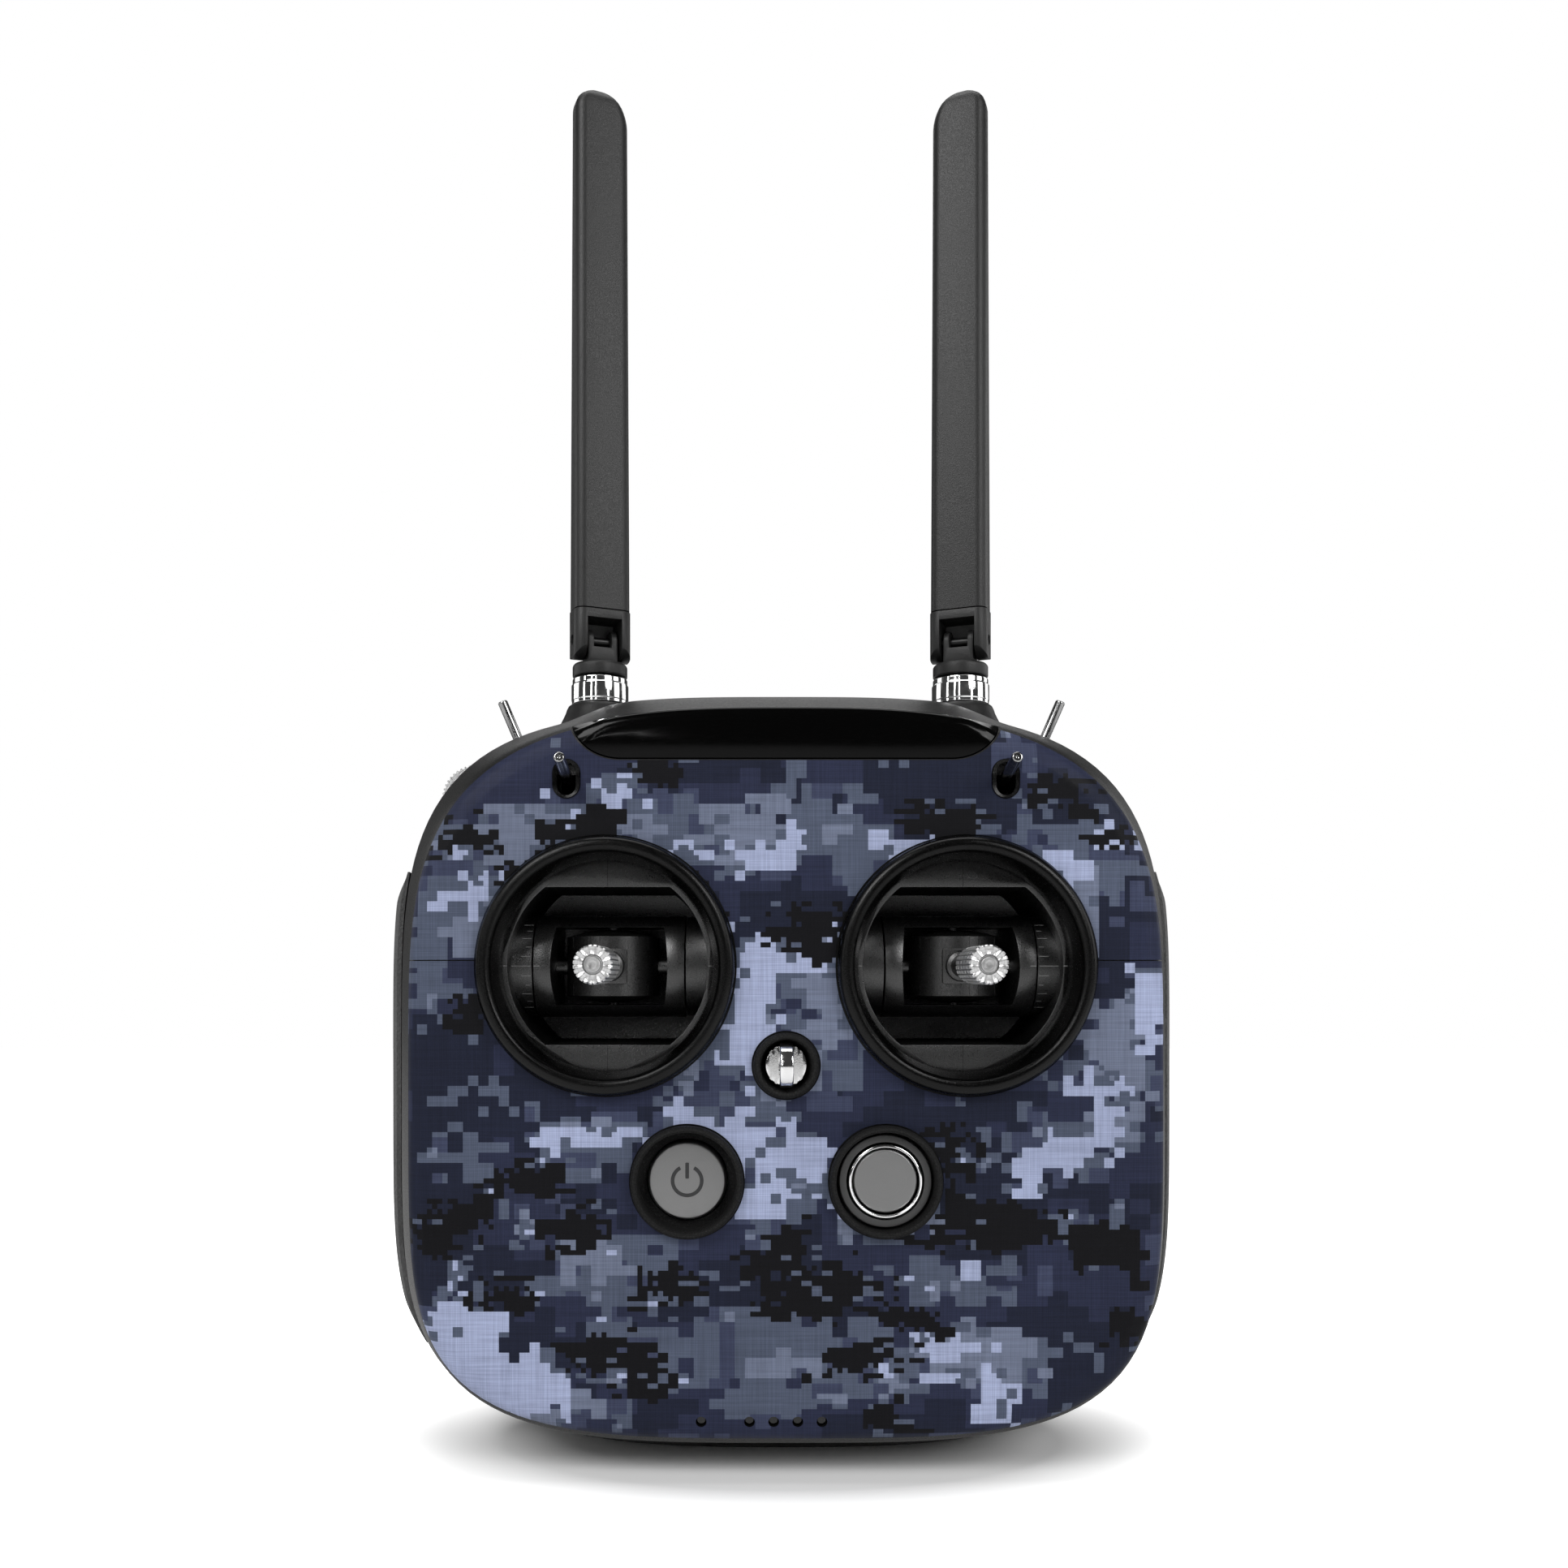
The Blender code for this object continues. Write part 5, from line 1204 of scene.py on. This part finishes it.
def make_side_buttons():
    """Round press buttons in the shoulders and the back, with a dished top and a soft edge."""
    for label, side in SIDES:
        outer, inner = shoulder_button_ends(label)
        turn = (outer - inner).to_track_quat("Z", "Y").to_matrix().to_4x4()
        place = Matrix.Translation(middle(f"shoulder_button_{label}")) @ turn
        profile = rounded([(0.0, 1.95), (2.5, 2.25, 0.4), (3.5, 2.1, 0.5), (3.5, -2.25), (0.0, -2.25)], 4)
        node = f"shoulder_button_{label}"
        turned(f"side_button_{label}", profile, CAP_METAL, node, place, [node], 48)
        node = f"back_button_{label}"
        x, _, z = middle(node)
        profile = rounded([(0.0, -23.5), (4.2, -23.5), (4.2, -29.5, 0.6), (2.9, -29.4, 0.4), (0.0, -29.1)], 4)
        turned(f"rear_button_{label}", profile, GIMBAL_PLASTIC, node, facing_front(x, 0.0, z), [node], 48)


def antenna_frame(side):
    place = Matrix.Translation((side * ANTENNA[0], ANTENNA[1], 0.0))
    return place @ Matrix.Rotation(-side * ANTENNA_TURN, 4, "Z")


# Heights of the hinge pins, fork tops and blade tips, then the tips' roundness and the tongues' half depth
PIN_Z = 182.2
FORK_TOP_Z = 188.9
BLADE_TOP_Z = 309.5
TIP_RADIUS = 8.0
TONGUE_HALF_DEPTH = 2.6

# Stands an outline's XY plane in an antenna's Y and Z
SIDEWAYS = Matrix(((0, 0, 1, 0), (1, 0, 0, 0), (0, 1, 0, 0), (0, 0, 0, 1)))


def make_antenna(label, side):
    place = antenna_frame(side)
    nut = rounded([(5.9, 173.5, 0.15), (6.35, 173.2, 0.15), (6.35, 172.1, 0.1), (6.6, 171.8, 0.1),
                   (6.6, 168.4, 0.1), (6.5, 168.1, 0.1), (6.5, 167.4, 0.15), (3.3, 167.4), (3.3, 173.5)])
    turned(f"antenna_collar_{label}", nut, CHROME, "case", place, [f"antenna_nut_{label}"], 96)
    make_hinge_base(label, place)
    make_fork(label, place)
    make_blade(label, place, side)


def make_hinge_base(label, place):
    body = f"{label}_antenna_base"
    profile = rounded([(0.0, 176.8), (5.9, 176.8, 0.2), (6.35, 176.3, 0.3), (6.35, 173.85, 0.3),
                       (2.9, 173.85), (2.9, 163.0), (0.0, 163.0)])
    turned(f"hinge_collar_{label}", profile, ANTENNA_PLASTIC, body, place, [f"antenna_knuckle_{label}"])
    half = TONGUE_HALF_DEPTH
    outline = arc(0.0, PIN_Z, half, half, 0, 180, 24) + [(-half, 176.7), (half, 176.7)]
    bm = bmesh.new()
    add_slab(bm, outline, -3.5, 3.5, SIDEWAYS)
    bmesh.ops.recalc_face_normals(bm, faces=bm.faces)
    tongue = to_piece(f"hinge_tongue_{label}", bm, ANTENNA_PLASTIC, body, (), place)
    slot = ((-2.1, -5.0, 180.6), (2.1, 5.0, 190.0))
    carve(tongue, [cutter("tongue_slot", lambda b: add_box(b, *slot, place))])
    soften(tongue, 0.2)
    bm = bmesh.new()
    add_rod(bm, (-6.2, 0.0, PIN_Z), (6.2, 0.0, PIN_Z), 1.0, 32)
    to_piece(f"hinge_pin_{label}", bm, PIN_SHADED_METAL, body, [f"antenna_pin_{label}"], place)


def make_fork(label, place):
    """Fork with round lower ends about the pin, a pocket for the tongue, and rims round the pin's ends."""
    body = f"{label}_antenna"
    bm = bmesh.new()
    add_slab(bm, rounded_box_outline(6.7, 4.2, 2.5), PIN_Z - 5.0, FORK_TOP_Z)
    fork = to_piece(f"hinge_fork_{label}", bm, ANTENNA_PLASTIC, body, [f"antenna_fork_{label}"], place)
    ends = arc(0.0, PIN_Z, 4.6, 4.5, 180, 360, 32) + [(4.6, 195.0), (-4.6, 195.0)]
    keep = cutter("fork_ends", lambda b: add_slab(b, ends, -10.0, 10.0, place @ SIDEWAYS))
    carve(fork, [keep], "INTERSECT")

    def pocket(bm):
        add_box(bm, (-4.05, -10.0, 170.0), (4.05, TONGUE_HALF_DEPTH + 0.35, 186.9), place)
    carve(fork, [cutter("fork_pocket", pocket)])
    bore = tuple(place @ Vector((x, 0.0, PIN_Z)) for x in (-9.0, 9.0))
    carve(fork, [rods_cutter("fork_bore", [(*bore, 1.25)], 32)])
    soften(fork, 0.22)
    bm = bmesh.new()
    for way in (-1, 1):
        turn = Matrix.Rotation(way * math.radians(90), 4, "Y")
        rim = Matrix.Translation((way * 6.62, 0.0, PIN_Z)) @ turn
        add_turned(bm, [(1.5, 0.08), (1.75, 0.02), (1.75, -0.3), (1.5, -0.3)], 32, rim)
    to_piece(f"hinge_rims_{label}", bm, SEAM, body, (), place)


def corner_loss(z, radius):
    """How far a round corner at the blade's tip has drawn in at a given height."""
    above = z - (BLADE_TOP_Z - radius)
    return 0.0 if above <= 0 else radius - math.sqrt(max(0.0, radius ** 2 - above ** 2))


def make_blade(label, place, side):
    """Blade with a flat front, rounded edges and an uneven round tip."""
    bm = bmesh.new()
    heights = even_steps(FORK_TOP_Z + 0.3, BLADE_TOP_Z - TIP_RADIUS, 24)
    for angle in (6, 12, 20, 28, 36, 45, 54, 63, 72, 80, 87):
        heights.append(BLADE_TOP_Z - TIP_RADIUS * (1 - math.sin(math.radians(angle))))
    rings = []
    for z in heights:
        share = (z - FORK_TOP_Z) / (BLADE_TOP_Z - FORK_TOP_Z)
        half_width = mix(6.5, 6.15, share)
        half_depth = mix(4.1, 3.3, share) - corner_loss(z, 3.0) * 0.8
        reach_in = half_width - corner_loss(z, TIP_RADIUS) * 0.75
        reach_out = half_width - corner_loss(z, 4.5)
        half = (reach_in + reach_out) / 2
        radius = min(2.3, half_depth * 0.9, half * 0.9)
        shape = rounded_box_outline(half, half_depth, radius, side * (reach_out - reach_in) / 2)
        rings.append([bm.verts.new((x, y, z)) for x, y in shape])
    bridge(bm, rings)
    bm.faces.new(list(reversed(rings[0])))
    bm.faces.new(rings[-1])
    body = f"{label}_antenna"
    to_piece(f"blade_{label}", bm, ANTENNA_PLASTIC, body, [f"antenna_blade_{label}"], place, 50.0)


# ---- CAD nodes that stay ----

def paint_kept_nodes():
    """Materials for the CAD nodes whose shape is right as it is."""
    board = textured_plastic("board_mask", (0.008, 0.06, 0.025, 1.0), 0.35, grain=1.2)
    wrap = textured_plastic("battery_wrap", (0.05, 0.05, 0.06, 1.0), 0.4, grain=0.6)
    lead = rubber("lead_jacket", grey(0.012), 2.0, 0.02)
    finishes = {"main_board": board, "battery_pack": wrap, "light_guide": LIGHT, "port_panel": GIMBAL_PLASTIC}
    for label, _ in SIDES:
        finishes[f"coax_{label}"] = lead
        for kind in ("face", "shoulder"):
            finishes[f"{kind}_toggle_body_{label}"] = GIMBAL_PLASTIC
        for row in ("low", "high"):
            finishes[f"case_screw_{label}_{row}"] = CHROME
    for node, material in finishes.items():
        for slot in NODES[node].material_slots:
            slot.material = material


# ---- stage ----

# Soft lamps: (name, place, width, height, power in watts); each looks at the middle of the case
LAMPS = (
    ("key", (-0.75, -1.0, 1.1), 0.8, 0.6, 14.5),
    ("fill", (0.85, -1.0, 0.85), 0.6, 0.6, 9.5),
    ("top", (0.0, 0.05, 1.5), 1.0, 0.7, 7.0),
    ("back", (0.0, 1.0, 1.1), 1.3, 0.7, 3.5),
    ("streak_far_left", (-1.07, -0.55, 0.45), 0.10, 0.7, 1.1),
    ("streak_left", (-0.62, -1.03, 0.42), 0.05, 0.5, 0.6),
    ("streak_near_left", (-0.27, -1.17, 0.42), 0.03, 0.5, 0.4),
    ("streak_right", (0.75, -0.95, 0.45), 0.07, 0.6, 0.8),
    ("right_panel", (1.2, -0.25, 0.45), 0.5, 0.7, 2.5),
    ("left_panel", (-1.15, 0.35, 0.45), 0.7, 0.7, 2.5),
    ("right_back_panel", (1.0, 0.6, 0.45), 0.5, 0.7, 2.0),
)
LIT_WORLD = 0.05
LAMP_AIM = Vector((0.0, 0.0, 0.1))

# The camera's place in metres, its focal length in millimetres and its frame's shift
EYE = (-0.0099, -0.292, 0.104)
LENS = 29.55
FRAME_SHIFT = (0.0295, 0.1237)
FLOOR_HALF = 1600.0

# Half width and half depth, in metres, of the floor's patch where shadows show; beyond it the floor glows
# white for the camera, a painted light over the lamps' cast shadows
SHADE_WIDTH = 0.078
SHADE_DEPTH = 0.038


def make_world():
    """A white backdrop that lights the object only weakly, so that dark gloss stays dark."""
    world = bpy.data.worlds.new("studio")
    bpy.context.scene.world = world
    world.use_nodes = True
    nodes, links = world.node_tree.nodes, world.node_tree.links
    seen = nodes.new("ShaderNodeBackground")
    seen.inputs["Color"].default_value = grey(1.0)
    lit = nodes["Background"]
    lit.inputs["Color"].default_value = grey(LIT_WORLD)
    path = nodes.new("ShaderNodeLightPath")
    pick = nodes.new("ShaderNodeMixShader")
    links.new(path.outputs["Is Camera Ray"], pick.inputs[0])
    links.new(lit.outputs[0], pick.inputs[1])
    links.new(seen.outputs[0], pick.inputs[2])
    links.new(pick.outputs[0], nodes["World Output"].inputs[0])


def make_stage():
    """Pale floor that glows white for the camera away from the case, a painted light over its cast shadows;
    soft lamps and the world.
    """
    g = Graph("stage_white_painted_glow")
    place = g.place(1.0)
    shade = g.blend(g.span(g.noise(place, 3.0, 2.0), 0.3, 0.7), grey(0.90), grey(0.93))
    # Painted light: away from the case the floor glows white for camera rays only, so that the lamps' shadows
    # show only near it
    distance = g.length(g.stretch(place, (1.0 / SHADE_WIDTH, 1.0 / SHADE_DEPTH, 0.0)))
    seen = g.add("LightPath").outputs["Is Camera Ray"]
    glow = g.math("MULTIPLY", g.span(distance, 0.8, 1.35), seen)
    g.finish(Base_Color=shade, Roughness=0.35, Emission_Color=grey(1.0), Emission_Strength=glow)
    bm = bmesh.new()
    bmesh.ops.create_grid(bm, x_segments=2, y_segments=2, size=FLOOR_HALF)
    floor = to_piece("floor", bm, g.material, None)
    floor.location = (0.0, 0.0, -0.0001)
    for name, spot, width, height, power in LAMPS:
        light = bpy.data.lights.new(name, "AREA")
        light.shape = "RECTANGLE"
        light.size = width
        light.size_y = height
        light.energy = power
        lamp = bpy.data.objects.new(name, light)
        lamp.location = spot
        lamp.rotation_euler = (LAMP_AIM - lamp.location).to_track_quat("-Z", "Y").to_euler()
        bpy.context.scene.collection.objects.link(lamp)


def make_camera():
    """Camera square on to the face, with its frame shifted up to hold the antennas."""
    camera = bpy.data.cameras.new("camera")
    camera.sensor_width = 36.0
    camera.lens = LENS
    camera.shift_x, camera.shift_y = FRAME_SHIFT
    camera.clip_start = 0.01
    view = bpy.data.objects.new("camera", camera)
    view.location = EYE
    view.rotation_euler = (math.radians(90), 0.0, 0.0)
    bpy.context.scene.collection.objects.link(view)
    bpy.context.scene.camera = view


def main():
    make_camera()
    make_world()
    make_stage()
    make_front()
    make_slot_rims()
    make_rear()
    make_grips()
    make_buttons()
    make_strap_anchor()
    make_toggles()
    make_dials()
    make_side_buttons()
    for label, side in SIDES:
        make_gimbal(label, side)
        make_antenna(label, side)
    paint_kept_nodes()
    bpy.context.scene.view_settings.view_transform = "Standard"


main()
